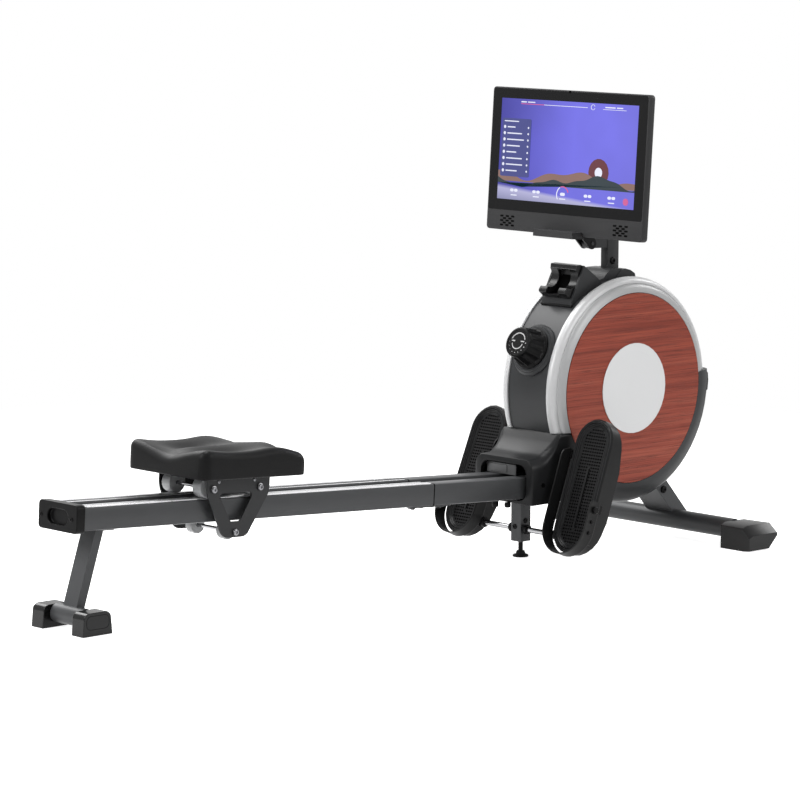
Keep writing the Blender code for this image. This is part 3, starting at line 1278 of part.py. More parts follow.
def make_pedals(mats):
    axle = cylinder(PEDAL_AXLE_R, -PEDAL_AXLE_HALF, PEDAL_AXLE_HALF, "Y", 16)
    solid("pedal_axle", axle, mats["steel"], None, (PEDAL_AXLE_X, 0, PEDAL_AXLE_Z))
    for name, side in (("left", 1), ("right", -1)):
        place = (PEDAL_AXLE_X, side * PEDAL_Y, PEDAL_AXLE_Z)
        tilt = PEDAL_TILT + LEFT_PEDAL_LEAN if side > 0 else PEDAL_TILT
        pivot = empty(f"pedal_pivot_{name}", place, tilt)
        make_pedal(mats, name, side, pivot)
        make_pedal_strap(mats, name, side, pivot)


def main():
    clear_scene()
    mats = make_materials()
    rails = empty("rail_frame", (RAIL_REAR_X, 0, RAIL_REAR_Z), RAIL_SLOPE)
    drum = empty("drum_centre", (DRUM_X, 0, DRUM_Z))
    carriage = empty("seat_carriage", (SEAT_U, 0, 0), 0.0, rails)
    make_rails(mats, rails)
    make_seat_bracket(mats, carriage)
    make_axles(mats, carriage)
    make_seat_pad(mats, carriage)
    make_rear_stand(mats, rails)
    make_front_stand(mats)
    make_main_frame(mats, rails)
    make_centre_leg(mats)
    make_drum_shells(mats, drum)
    make_rims(mats, drum)
    make_side_panels(mats, drum)
    make_front_cover(mats, drum)
    make_neck_cover(mats)
    make_top_cover(mats, drum)
    make_handle_dock(mats, drum)
    make_knob(mats, drum)
    make_inner_works(mats)
    make_magnet_bracket(mats)
    make_cable(mats)
    make_mast(mats)
    make_screen(mats)
    make_pedals(mats)


main()
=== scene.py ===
"""Magnetic rowing machine: the studio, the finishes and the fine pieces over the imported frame.

Metres, in the frame's own axes: +X runs along the rails to the drum, -Y is the rower's right-hand
side, and the floor is z = 0.
"""

import json
import math

import bmesh
import bpy
from mathutils import Matrix, Vector

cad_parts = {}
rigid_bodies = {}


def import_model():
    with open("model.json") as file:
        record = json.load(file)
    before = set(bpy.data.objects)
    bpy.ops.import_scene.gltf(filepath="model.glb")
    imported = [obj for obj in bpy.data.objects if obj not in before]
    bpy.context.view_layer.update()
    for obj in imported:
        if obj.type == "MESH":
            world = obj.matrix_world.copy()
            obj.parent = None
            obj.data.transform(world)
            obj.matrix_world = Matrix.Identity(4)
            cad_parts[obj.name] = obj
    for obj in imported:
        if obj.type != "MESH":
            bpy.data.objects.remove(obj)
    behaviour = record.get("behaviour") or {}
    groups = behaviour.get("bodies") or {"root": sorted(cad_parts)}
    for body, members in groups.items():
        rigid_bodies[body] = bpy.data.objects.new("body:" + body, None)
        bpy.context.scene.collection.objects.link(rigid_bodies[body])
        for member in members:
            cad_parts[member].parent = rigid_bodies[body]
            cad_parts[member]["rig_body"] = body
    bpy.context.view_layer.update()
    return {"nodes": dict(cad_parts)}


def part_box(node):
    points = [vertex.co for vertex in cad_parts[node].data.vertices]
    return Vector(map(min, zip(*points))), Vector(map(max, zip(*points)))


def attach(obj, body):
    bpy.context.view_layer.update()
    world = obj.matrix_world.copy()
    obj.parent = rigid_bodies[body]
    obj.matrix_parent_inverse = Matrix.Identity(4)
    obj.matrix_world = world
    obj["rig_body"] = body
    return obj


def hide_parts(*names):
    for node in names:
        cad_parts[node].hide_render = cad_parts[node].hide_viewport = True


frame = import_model()

# Camera, set to the photograph's view
CAMERA_PLACE = (-5.30795, -5.7057, 1.4211)
CAMERA_HEADING = 47.0
CAMERA_PITCH = -7.67
CAMERA_ROLL = 0.18
CAMERA_LENS = 171.0
CAMERA_SENSOR = 36.0

# World and floor
WORLD_LIGHT = 0.22
FLOOR_HALF = 40.0
FLOOR_COLOUR = (0.80, 0.80, 0.80)
FLOOR_GLOW = 0.80
FADE_FROM = 1.5
FADE_TO = 2.8

# Welding, the joint between the shells, edges, and how far a small shape reaches into its piece
WELD = 0.00001
SHELL_JOINT = 0.0004
FLAT_ANGLE = 0.5
EDGE_ANGLE = 34.0
SINK = 0.0003

# Places and slopes that the frame's own pieces have
DRUM_X = 0.62165
DRUM_Z = 0.351
DRUM_R = 0.2365
RAIL_REAR_X = -0.88435
RAIL_REAR_Z = 0.2252
RAIL_SLOPE = math.radians(3.14)
JOINT_U = 0.942
SEAT_U = 0.3855
KNUCKLE_X = 0.56615
KNUCKLE_Z = 0.6626
SCREEN_TILT = math.radians(3.77)
SCREEN_FRONT = -0.0804
PEDAL_X = 0.36535
PEDAL_Z = 0.0612
PEDAL_Y = 0.1656
PEDAL_TILT = {"left": math.radians(23.5), "right": math.radians(19.9)}
KNOB_ANGLE = 156.9
SIDES = (("left", 1), ("right", -1))

# Colours of the wood and of the display
WOOD_DARK = (0.190, 0.030, 0.016)
WOOD_MIDDLE = (0.275, 0.048, 0.026)
WOOD_LIGHT = (0.350, 0.074, 0.042)
WOOD_WAVER = 0.0035
SKY_LEFT = (0.030, 0.026, 0.33)
SKY_MIDDLE = (0.155, 0.145, 0.80)
SKY_RIGHT = (0.150, 0.140, 0.72)
GROUND_FAR = (0.48, 0.47, 0.72)
GROUND_NEAR = (0.12, 0.13, 0.27)

# Rims: where they run about the drum's axis, their round bead, and the painted shadow line round the wood
# panel
RIM_INNER_R = 0.2072
RIM_FROM = 5.1
RIM_TO = 215.0
RIM_CUT = -0.0802
BEAD_R = 0.2266
BEAD_W = 0.0139
BEAD_H = 0.0160
BEAD_Y = 0.0620
PANEL_LINE_R = 0.2055
PANEL_LINE_W = 0.0023
PANEL_LINE_Y = 0.0860

# Handle dock: half widths of its gasket and of its slot
DOCK_GASKET_HALF_Y = 0.0462
DOCK_SLOT_HALF_Y = 0.0173

# Seat cushion
SEAT_HALF_U = 0.136
SEAT_HALF_Y = 0.121
SEAT_CORNER = 0.021
SEAT_AHEAD = 0.012
SEAT_RIM_W = 0.0685
SEAT_BEAD_H = 0.054
SEAT_BEAD_W = 0.0165
SEAT_BEAD_DROP = 0.0185
SEAT_WALL_IN = 0.0005
SEAT_TOP_RINGS = 26

# Display
LAYER = 0.00012
PICTURE_W = 0.4095
PICTURE_LOW = 0.0838
PICTURE_H = 0.219
SUN_PLACE = (0.302, 0.072)
DIAL_PLACE = (0.199, 0.0190)
GRILLE_Y = 0.1700
GRILLE_Z = 0.0372
SLOT_HALF_W = 0.0050
SLOT_HALF_H = 0.0020
SLOT_PITCH = 0.0167
SLOT_ROW = 0.0049
LENS_Z = 0.3235

# Knob: radii, and distances from the drum's axis
KNOB_RIBS = 15
KNOB_STEP = 0.2438
KNOB_FLANGE_R = 0.0457
KNOB_FOOT_R = 0.0415
KNOB_FACE_R = 0.0335
KNOB_FACE = 0.2910
KNOB_DISH = 0.0012
KNOB_DOTS = 9
KNOB_DOTS_R = 0.0240

# Footplates and their straps
PEDAL_HALF_W = 0.053
PEDAL_LOW = -0.0365
PEDAL_HIGH = 0.2568
TREAD_X = -0.012
TREAD_EDGE = 0.0205
RIB_HALF_W = 0.0062
RIB_LOW = 0.014
RIB_HIGH = 0.156
DOT_PITCH = 0.0068
DOT_START = 0.004
DOT_R = 0.0019
STRAP_OFFSET = 0.0045
STRAP_T = 0.0025
STRAP_LOW = -0.044
STRAP_HIGH = -0.012
STRAP_INNER_END = 0.185
STRAP_OUTER_END = 0.080
STRAP_FREE_ROUNDS = (0.020, 0.008)
STRAP_HELD_ROUND = 0.003
STRAP_CLAMP = (-0.019, -0.003)
STRAP_CLAMP_T = 0.0052
STRAP_KNOB_X = -0.026

# Rails, their running strips and the splice under their joint
RAIL_SKIN = 0.0232
RAIL_INNER_Y = 0.0198
RAIL_OUTER_Y = 0.0582
RAIL_CORNER = 0.004
SEAM_BEFORE = 0.0008
SEAM_AFTER = 0.0018
TRACK_EDGES_Y = (0.0240, 0.0543)
TRACK_EDGE_HALF_W = 0.0011
TRACK_EDGE_LOW = 0.0229
TRACK_EDGE_TOP = 0.0240
TRACK_START = 0.0290
TRACK_END = 0.9330
SPLICE_BOLTS_U = (0.905, 0.979)
SPLICE_BOLT_Y = 0.0336
SPLICE_UNDER = -0.0262

# Places of the screws. Those of a pair are given for the left side
CAP_SCREWS_Y = (0.0514, -0.0435)
AXLE_BOLTS = ((-0.060, 0.0785, 0.0437), (0.060, 0.0785, 0.0437), (0.0, 0.0785, -0.0432))
SEAT_SCREWS = ((-0.0461, 0.0750, 0.0588), (0.0461, 0.0750, 0.0588))
NECK_SCREW = (0.347, 0.0875, 0.1665)
LEG_SCREW_REAR = (0.3534, 0.0033, 0.066)
LEG_SCREW_SIDE = (0.3677, -0.01475, 0.0797)
MAST_BOLT = (0.6316, 0.011, 0.6217)
STRUT_BOLT = (0.7712, 0.040, 0.1076)

# Rear foot caps, axle collars and the fittings in the mouth of the neck
CAP_LEAN = 0.0030
CAP_ROUND = 0.0135
CAP_PANEL_SIDE = 0.0085
CAP_PANEL_LOW = 0.0130
CAP_PANEL_TOP = 0.0060
CAP_PANEL_CORNER = 0.0100
CAP_LINE_W = 0.0007
AXLE_R = 0.0062
COLLAR_R = 0.0105
COLLAR_W = 0.008
COLLARS_Y = (0.0185, 0.1040)
MOUTH_X = 0.3300
MOUTH_BRACKET = (-0.0220, 0.0660, 0.1816, 0.2045)
MOUTH_PANEL = (0.0040, 0.0600, 0.1850, 0.2015)
MOUTH_CORNER = 0.0030
FLOOR_KNOBS = ((0.3010, 0.0100), (0.3140, -0.0140))
FLOOR_KNOB_Z = 0.1245


def middle(node):
    low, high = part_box(node)
    return (low + high) / 2


def half_size(node):
    low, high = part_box(node)
    return (high - low) / 2


# Shader building


class Nodes:
    """A node tree, with short ways to add nodes to it and to join them."""

    def __init__(self, tree):
        self.tree = tree

    def add(self, kind, **settings):
        node = self.tree.nodes.new(kind)
        for key, value in settings.items():
            setattr(node, key, value)
        return node

    def link(self, source, target):
        self.tree.links.new(source, target)

    def fill(self, socket, value):
        """Joins another node's output to a socket, or gives the socket a plain value."""
        if isinstance(value, bpy.types.NodeSocket):
            self.link(value, socket)
        else:
            socket.default_value = value

    def math(self, operation, first, second=0.0):
        node = self.add("ShaderNodeMath", operation=operation)
        self.fill(node.inputs[0], first)
        self.fill(node.inputs[1], second)
        return node.outputs[0]

    def noise(self, vector, scale, detail, roughness=0.5):
        node = self.add("ShaderNodeTexNoise")
        values = {"Vector": vector, "Scale": scale, "Detail": detail, "Roughness": roughness}
        for key, value in values.items():
            self.fill(node.inputs[key], value)
        return node

    def remap(self, value, low, high, start=0.0, end=1.0, curve="LINEAR"):
        """Turns the range from start to end into the one from low to high, and stops at its ends."""
        node = self.add("ShaderNodeMapRange", interpolation_type=curve)
        ends = {"Value": value, "From Min": start, "From Max": end, "To Min": low, "To Max": high}
        for key, end_value in ends.items():
            self.fill(node.inputs[key], end_value)
        return node.outputs["Result"]

    def scaled(self, colour, level):
        node = self.add("ShaderNodeVectorMath", operation="SCALE")
        self.fill(node.inputs[0], colour)
        self.fill(node.inputs["Scale"], level)
        return node.outputs[0]

    def ramp(self, share, first, last, *between):
        """A colour from a ramp through places of (position, colour)."""
        node = self.add("ShaderNodeValToRGB")
        stops = node.color_ramp.elements
        for k, (position, colour) in enumerate((first, last)):
            stops[k].position = position
            stops[k].color = (*colour, 1.0)
        for position, colour in between:
            stops.new(position).color = (*colour, 1.0)
        self.link(share, node.inputs["Fac"])
        return node.outputs["Color"]

    def blend(self, share, first, second):
        """One surface or background passing into another."""
        node = self.add("ShaderNodeMixShader")
        for socket, value in zip(node.inputs, (share, first, second)):
            self.link(value, socket)
        return node.outputs[0]

    def background_share(self):
        """1 for rays from the camera, and for mirrored or refracted views of the background."""
        path = self.add("ShaderNodeLightPath")
        share = self.math("MAXIMUM", path.outputs["Is Camera Ray"], path.outputs["Is Glossy Ray"])
        return self.math("MAXIMUM", share, path.outputs["Is Transmission Ray"])


class Shader(Nodes):
    """A material with its Principled shader."""

    def __init__(self, name, colour, roughness, metallic=0.0, specular=0.5):
        self.mat = bpy.data.materials.new(name)
        self.mat.use_nodes = True
        super().__init__(self.mat.node_tree)
        self.body = self.tree.nodes["Principled BSDF"]
        self.put("Base Color", (*colour, 1.0))
        self.put("Roughness", roughness)
        self.put("Metallic", metallic)
        self.put("Specular IOR Level", specular)

    def put(self, name, value):
        """Fills an input of the Principled shader."""
        self.fill(self.body.inputs[name], value)

    def place(self, scale=(1, 1, 1), centre=(0, 0, 0)):
        """Object coordinates, moved to a centre and scaled."""
        coords = self.add("ShaderNodeTexCoord")
        shift = self.add("ShaderNodeVectorMath", operation="SUBTRACT")
        shift.inputs[1].default_value = centre
        self.link(coords.outputs["Object"], shift.inputs[0])
        return self.stretched(shift.outputs[0], scale)

    def stretched(self, vector, scale):
        mapping = self.add("ShaderNodeMapping")
        mapping.inputs["Scale"].default_value = scale
        self.link(vector, mapping.inputs["Vector"])
        return mapping.outputs["Vector"]

    def length(self, vector):
        node = self.add("ShaderNodeVectorMath", operation="LENGTH")
        self.link(vector, node.inputs[0])
        return node.outputs["Value"]

    def relief(self, height, distance, strength=1.0):
        bump = self.add("ShaderNodeBump")
        bump.inputs["Strength"].default_value = strength
        bump.inputs["Distance"].default_value = distance
        self.link(height, bump.inputs["Height"])
        self.put("Normal", bump.outputs["Normal"])


def new_group(name, kind, inputs, outputs):
    """An empty node group with named sockets: its nodes, what it is given and what it gives."""
    tree = bpy.data.node_groups.new(name, kind)
    for label, value_kind, *default in inputs:
        socket = tree.interface.new_socket(label, in_out="INPUT", socket_type=f"NodeSocket{value_kind}")
        if default:
            socket.default_value = default[0]
    for label, value_kind in outputs:
        tree.interface.new_socket(label, in_out="OUTPUT", socket_type=f"NodeSocket{value_kind}")
    nodes = Nodes(tree)
    return nodes, nodes.add("NodeGroupInput").outputs, nodes.add("NodeGroupOutput").inputs


def make_skin_group():
    """Fine moulded or sprayed texture: a slightly uneven colour, an uneven gloss and a small relief."""
    nodes, given, out = new_group(
        "surface_skin",
        "ShaderNodeTree",
        (
            ("Vector", "Vector"),
            ("Colour", "Color", (0.5, 0.5, 0.5, 1.0)),
            ("Grain size", "Float", 0.001),
            ("Colour change", "Float", 0.1),
            ("Roughness", "Float", 0.4),
            ("Roughness change", "Float", 0.1),
            ("Scuffs", "Float", 0.1),
        ),
        (("Colour", "Color"), ("Roughness", "Float"), ("Height", "Float")),
    )
    grain = nodes.math("DIVIDE", 1.0, given["Grain size"])
    fine = nodes.noise(given["Vector"], grain, 2.0).outputs["Fac"]
    broad = nodes.noise(given["Vector"], 9.0, 5.0).outputs["Fac"]
    scratch = nodes.noise(given["Vector"], 38.0, 7.0, 0.72).outputs["Fac"]
    scuff = nodes.math("MULTIPLY", nodes.remap(scratch, 0.0, 1.0, 0.62, 0.74), given["Scuffs"])
    speck = nodes.math("MULTIPLY", nodes.math("SUBTRACT", fine, 0.5), 0.6)
    uneven = nodes.math("ADD", nodes.math("SUBTRACT", broad, 0.5), speck)
    change = nodes.math("MULTIPLY", uneven, given["Colour change"])
    level = nodes.math("ADD", nodes.math("ADD", change, 1.0), scuff)
    nodes.link(nodes.scaled(given["Colour"], level), out["Colour"])
    gloss = nodes.math("MULTIPLY", uneven, given["Roughness change"])
    rough = nodes.math("ADD", given["Roughness"], gloss)
    nodes.link(nodes.math("ADD", rough, nodes.math("MULTIPLY", scuff, 0.4)), out["Roughness"])
    nodes.link(fine, out["Height"])
    return nodes.tree


SKIN = make_skin_group()


def skin(name, colour, roughness, grain, relief, scuffs=0.05, metallic=0.0, specular=0.5):
    """A moulded, coated or rubber finish from the shared skin group."""
    shader = Shader(name, colour, roughness, metallic, specular)
    group = shader.add("ShaderNodeGroup", node_tree=SKIN)
    values = {
        "Vector": shader.place(),
        "Colour": (*colour, 1.0),
        "Grain size": grain,
        "Colour change": 0.16,
        "Roughness": roughness,
        "Roughness change": 0.12,
        "Scuffs": scuffs,
    }
    for key, value in values.items():
        shader.fill(group.inputs[key], value)
    shader.put("Base Color", group.outputs["Colour"])
    shader.put("Roughness", group.outputs["Roughness"])
    shader.relief(group.outputs["Height"], relief)
    return shader.mat


def make_wood():
    """Reddish-brown veneer: long level veins, fine dark pores and a satin lacquer."""
    shader = Shader("wood_veneer", WOOD_MIDDLE, 0.46, specular=0.22)
    waver = shader.noise(shader.place((1.0, 1.0, 1.6)), 5.0, 2.0)
    bent = shader.add("ShaderNodeVectorMath", operation="ADD")
    shader.link(shader.place(), bent.inputs[0])
    shader.link(shader.scaled(waver.outputs["Color"], WOOD_WAVER), bent.inputs[1])
    layers = []
    for scale, along, detail in ((60.0, 0.035, 3.0), (290.0, 0.0065, 3.0), (760.0, 0.010, 2.0)):
        drawn_out = shader.stretched(bent.outputs[0], (along, along, 1.0))
        layers.append(shader.noise(drawn_out, scale, detail, 0.6).outputs["Fac"])
    broad, veined, fine = layers
    colour = shader.ramp(broad, (0.30, WOOD_DARK), (0.70, WOOD_LIGHT), (0.48, WOOD_MIDDLE))
    distance = shader.math("ABSOLUTE", shader.math("SUBTRACT", veined, 0.5))
    vein = shader.remap(distance, 0.45, 1.0, 0.0, 0.022, "SMOOTHSTEP")
    pores = shader.remap(fine, 0.70, 1.06, 0.36, 0.52)
    level = shader.math("MULTIPLY", vein, pores)
    shader.put("Base Color", shader.scaled(colour, level))
    shader.put("Roughness", shader.remap(level, 0.54, 0.38))
    shader.relief(level, 0.0002, 0.6)
    return shader.mat


def make_spun_metal(name, colour, roughness, metallic, bead_highlight=1.0):
    """Metal or silver paint with fine rings about the drum's axis, and a painted highlight that makes the
    colour brighter on the rim's bead.
    """
    shader = Shader(name, colour, roughness, metallic)
    radius = shader.length(shader.place((1, 0, 1), (DRUM_X, 0.0, DRUM_Z)))
    rings = shader.add("ShaderNodeTexNoise", noise_dimensions="1D")
    rings.inputs["Scale"].default_value = 700.0
    rings.inputs["Detail"].default_value = 2.0
    shader.link(radius, rings.inputs["W"])
    cloud = shader.noise(shader.place(), 22.0, 4.0).outputs["Fac"]
    shader.put("Roughness", shader.remap(cloud, roughness - 0.05, roughness + 0.07))
    tone = shader.remap(rings.outputs["Fac"], 0.95, 1.04)
    # Painted highlight: the colour is multiplied up over the rim's round bead, standing in for the light
    # that the bead catches.
    bead = shader.remap(radius, 1.0, bead_highlight, BEAD_R - 0.0020, BEAD_R + 0.0010)
    shader.put("Base Color", shader.scaled(colour, shader.math("MULTIPLY", tone, bead)))
    return shader.mat


def make_rod_steel():
    """Polished round bar with fine lines drawn across the machine."""
    colour = (0.36, 0.36, 0.37)
    shader = Shader("rod_steel", colour, 0.2, metallic=1.0)
    drawn = shader.noise(shader.place((1.0, 0.05, 1.0)), 900.0, 3.0).outputs["Fac"]
    shader.put("Roughness", shader.remap(drawn, 0.13, 0.27))
    shader.put("Base Color", shader.scaled(colour, shader.remap(drawn, 0.85, 1.1)))
    return shader.mat


def make_glow(name, colour, strength=1.0, unevenness=0.12):
    """A lit colour of the display, slightly uneven like a back light behind a pixel grid."""
    shader = Shader(name, (0.004, 0.004, 0.005), 0.22)
    cloud = shader.noise(shader.place(), 8.0, 3.0)
    grid = shader.add("ShaderNodeTexVoronoi")
    grid.inputs["Scale"].default_value = 1400.0
    shader.link(shader.place(), grid.inputs["Vector"])
    both = shader.math("ADD", cloud.outputs["Fac"], grid.outputs["Distance"])
    level = shader.remap(both, 1.0 - unevenness, 1.0 + unevenness, 0.0, 2.0)
    shader.put("Emission Color", shader.scaled(colour, level))
    shader.put("Emission Strength", strength)
    return shader.mat


def make_display_sky():
    """The display's backdrop: a blue-violet wash that lightens to the right over a pale floor band."""
    shader = Shader("display_sky", (0.004, 0.004, 0.006), 0.22)
    split = shader.add("ShaderNodeSeparateXYZ")
    shader.link(shader.place(), split.inputs[0])
    across = shader.remap(split.outputs["Y"], 0.0, 1.0, 0.205, -0.205)
    wash = shader.ramp(across, (0.0, SKY_LEFT), (1.0, SKY_RIGHT), (0.55, SKY_MIDDLE))
    cloud = shader.noise(shader.place(), 6.0, 2.0).outputs["Fac"]
    sky = shader.scaled(wash, shader.remap(cloud, 0.75, 1.2))
    level = shader.math("MULTIPLY", split.outputs["Y"], 0.08)
    height = shader.math("SUBTRACT", split.outputs["Z"], level)
    depth = shader.remap(height, 0.0, 1.0, 0.766, 0.722)
    mix = shader.add("ShaderNodeMix", data_type="RGBA")
    shader.link(shader.remap(height, 0.0, 1.0, 0.768, 0.760), mix.inputs[0])
    shader.link(sky, mix.inputs[6])
    shader.link(shader.ramp(depth, (0.0, GROUND_FAR), (1.0, GROUND_NEAR)), mix.inputs[7])
    shader.put("Emission Color", mix.outputs[2])
    shader.put("Emission Strength", 1.0)
    return shader.mat


def make_webbing():
    """Woven polyester: ribs across the strap and a fine twill along it."""
    colour = (0.016, 0.016, 0.017)
    shader = Shader("strap_webbing", colour, 0.72)
    shader.put("Sheen Weight", 0.25)
    weave = []
    for direction, scale in (("Z", 330.0), ("X", 520.0)):
        wave = shader.add("ShaderNodeTexWave", wave_type="BANDS", bands_direction=direction)
        wave.inputs["Scale"].default_value = scale
        shader.link(shader.place(), wave.inputs["Vector"])
        weave.append(wave.outputs["Fac"])
    height = shader.math("ADD", *weave)
    shader.put("Base Color", shader.scaled(colour, shader.remap(height, 0.6, 1.5, 0.0, 2.0)))
    shader.relief(height, 0.0002)
    return shader.mat


def make_finishes():
    """Every finish by its short name. The colours are linear, grain and relief are in metres."""
    coat = (0.053, 0.0543, 0.0565)
    shell = (0.0300, 0.0308, 0.0322)
    tread = (0.0090, 0.0090, 0.0093)
    casing = (0.032, 0.032, 0.033)
    urethane = (0.33, 0.335, 0.34)
    glass = (0.009, 0.009, 0.0093)
    return {
        "frame": skin("frame_coat", coat, 0.38, 0.0011, 0.00003, metallic=0.15, specular=0.2),
        # The plate coat also colours the footplates' ridges, where its lighter tone is a painted highlight.
        "plate": skin("plate_coat", (0.022, 0.0225, 0.0235), 0.40, 0.0010, 0.00003, 0.04, specular=0.2),
        "shell": skin("shell_plastic", shell, 0.34, 0.0007, 0.00003, specular=0.15),
        "neck": skin("neck_plastic", (0.0125, 0.0128, 0.0134), 0.32, 0.0007, 0.00003, specular=0.10),
        "black": skin("black_plastic", (0.0038, 0.0038, 0.0040), 0.34, 0.0008, 0.00005, specular=0.09),
        "dock": skin("dock_plastic", (0.0060, 0.0060, 0.0064), 0.27, 0.0008, 0.00004, specular=0.20),
        "cap": skin("foot_plastic", (0.0042, 0.0042, 0.0045), 0.22, 0.0009, 0.00003, specular=0.22),
        "tread": skin("tread_plastic", tread, 0.30, 0.0009, 0.00006, specular=0.14),
        "casing": skin("display_casing", casing, 0.50, 0.0006, 0.00004, specular=0.12),
        "seat": skin("seat_skin", (0.0040, 0.0040, 0.0042), 0.42, 0.0012, 0.00016, 0.03, specular=0.11),
        "rubber": skin("black_rubber", (0.005, 0.005, 0.0052), 0.60, 0.0006, 0.00006, specular=0.12),
        "strap": skin("strap_rubber", (0.006, 0.006, 0.0062), 0.44, 0.0008, 0.00005, specular=0.16),
        # Near-black: painted shade on the tread's dots, in the sound slots, at the back of the dock's slot
        # and round the wood panels, and the plain black of the neck screws, the lens, the rail seams and
        # the lines on the rear caps.
        "void": skin("deep_shadow", (0.001, 0.001, 0.001), 0.9, 0.0008, 0.00002, 0.0, specular=0.03),
        "track": skin("track_steel", (0.66, 0.66, 0.67), 0.28, 0.0006, 0.000004, 0.03, metallic=0.9),
        "steel": skin("polished_steel", (0.60, 0.60, 0.61), 0.20, 0.0004, 0.000004, 0.02, metallic=1.0),
        "iron": skin("machined_iron", (0.20, 0.20, 0.21), 0.30, 0.0008, 0.00002, metallic=0.9),
        "grey": skin("cast_grey", (0.095, 0.096, 0.098), 0.45, 0.0010, 0.00004, metallic=0.2),
        "roller": skin("roller_urethane", urethane, 0.34, 0.0010, 0.00001, specular=0.3),
        "glass": skin("display_glass", glass, 0.22, 0.003, 0.0, 0.0, specular=0.08),
        "marking": skin("white_marking", (0.42, 0.42, 0.42), 0.55, 0.0004, 0.00001, 0.0),
        # The last number is the painted highlight on the rim's bead.
        "silver": make_spun_metal("rim_silver", (0.335, 0.337, 0.34), 0.36, 0.12, 1.45),
        "disc": make_spun_metal("disc_satin", (0.68, 0.685, 0.69), 0.45, 0.15),
        "rod": make_rod_steel(),
        "wood": make_wood(),
        "webbing": make_webbing(),
        "sky": make_display_sky(),
        "ink": make_glow("display_white", (0.80, 0.82, 0.95)),
        "ridge": make_glow("display_dark_hills", (0.006, 0.022, 0.030), 1.0, 0.3),
        "slope": make_glow("display_pale_hills", (0.30, 0.16, 0.13), 0.8, 0.3),
        "sun": make_glow("display_red_sun", (0.115, 0.012, 0.020), 1.0, 0.2),
        "sheet": make_glow("display_list_sheet", (0.040, 0.048, 0.23)),
        "accent": make_glow("display_accent", (0.62, 0.10, 0.30)),
    }


FINISH = make_finishes()

# The record's slot for each finish that has no slot of its own there
SLOTS = {name: "black" for name in ("casing", "cap", "dock", "grey", "marking", "seat", "tread", "void")}
SLOTS |= {name: "glass" for name in ("sky", "ink", "ridge", "slope", "sun", "sheet", "accent")}
SLOTS |= {"plate": "frame", "neck": "shell", "track": "steel", "rod": "steel", "strap": "webbing"}


# Local frames of the slanted pieces, and shapes in them


def placed(x, z, turn=0.0, y=0.0):
    """A frame at a place, turned about the machine's cross axis."""
    return Matrix.Translation((x, y, z)) @ Matrix.Rotation(turn, 4, "Y")


WHOLE = Matrix()
RAILS = placed(RAIL_REAR_X, RAIL_REAR_Z, RAIL_SLOPE)
CARRIAGE = RAILS @ Matrix.Translation((SEAT_U, 0, 0))
SCREEN = placed(KNUCKLE_X, KNUCKLE_Z, SCREEN_TILT)
DRUM = placed(DRUM_X, DRUM_Z)
KNOB = placed(DRUM_X, DRUM_Z, math.radians(90 - KNOB_ANGLE))
AXLE = placed(PEDAL_X, PEDAL_Z)
PEDALS = {name: placed(PEDAL_X, PEDAL_Z, PEDAL_TILT[name], side * PEDAL_Y) for name, side in SIDES}


def on_axis(axis, a, b, along):
    """A point given in the plane across an axis, and its distance along that axis."""
    return {"X": (along, a, b), "Y": (a, along, b), "Z": (a, b, along)}[axis]


def arc(a, b, radius, start, end, steps):
    """Points on a circle from one angle to another, in degrees."""
    angles = [math.radians(start + (end - start) * k / steps) for k in range(steps + 1)]
    return [(a + radius * math.cos(angle), b + radius * math.sin(angle)) for angle in angles]


def rounded(a0, a1, b0, b1, radius, steps=5):
    """A rectangle with round corners."""
    return (
        arc(a1 - radius, b1 - radius, radius, 0, 90, steps)
        + arc(a0 + radius, b1 - radius, radius, 90, 180, steps)
        + arc(a0 + radius, b0 + radius, radius, 180, 270, steps)
        + arc(a1 - radius, b0 + radius, radius, 270, 360, steps)
    )


def add_prism(bm, points, low, high, axis="X"):
    ends = [[bm.verts.new(on_axis(axis, a, b, level)) for a, b in points] for level in (low, high)]
    bm.faces.new(ends[0])
    bm.faces.new(ends[1])
    for i, here in enumerate(ends[0]):
        j = (i + 1) % len(points)
        bm.faces.new((here, ends[0][j], ends[1][j], ends[1][i]))


def add_loft(bm, rings, closed=False):
    """Joins rings of points into a skin, with a face over each end unless the rings close up."""
    rows = [[bm.verts.new(point) for point in ring] for ring in rings]
    pairs = list(zip(rows, rows[1:]))
    if closed:
        pairs.append((rows[-1], rows[0]))
    for row, following in pairs:
        for i, here in enumerate(row):
            j = (i + 1) % len(row)
            bm.faces.new((here, row[j], following[j], following[i]))
    if not closed:
        bm.faces.new(rows[0])
        bm.faces.new(rows[-1])


def turned_rings(profile, steps, axis):
    """A profile of (radius, distance along the axis) as rings about the axis."""
    angles = [2 * math.pi * k / steps for k in range(steps)]
    circle = [(math.cos(angle), math.sin(angle)) for angle in angles]
    return [[on_axis(axis, r * a, r * b, along) for a, b in circle] for r, along in profile]


def moved(ring, x=0.0, y=0.0, z=0.0):
    return [(a + x, b + y, c + z) for a, b, c in ring]


def prisms(outlines, low, high, axis="X"):
    """Flat-ended shapes between two levels, one for each outline."""
    bm = bmesh.new()
    for outline in outlines:
        add_prism(bm, outline, low, high, axis)
    return bm


def lofts(*shapes, closed=False):
    """Skins over rings of points, one for each set of rings."""
    bm = bmesh.new()
    for rings in shapes:
        add_loft(bm, rings, closed)
    return bm


def to_mesh(bm, name):
    mesh = bpy.data.meshes.new(name)
    bm.to_mesh(mesh)
    bm.free()
    return mesh


def finish_mesh(bm, name, place):
    """The built shape as a mesh, with its faces turned outwards and set in its place."""
    bmesh.ops.remove_doubles(bm, verts=bm.verts, dist=WELD / 10)
    bmesh.ops.recalc_face_normals(bm, faces=bm.faces)
    bmesh.ops.transform(bm, matrix=place, verts=bm.verts)
    return to_mesh(bm, name)


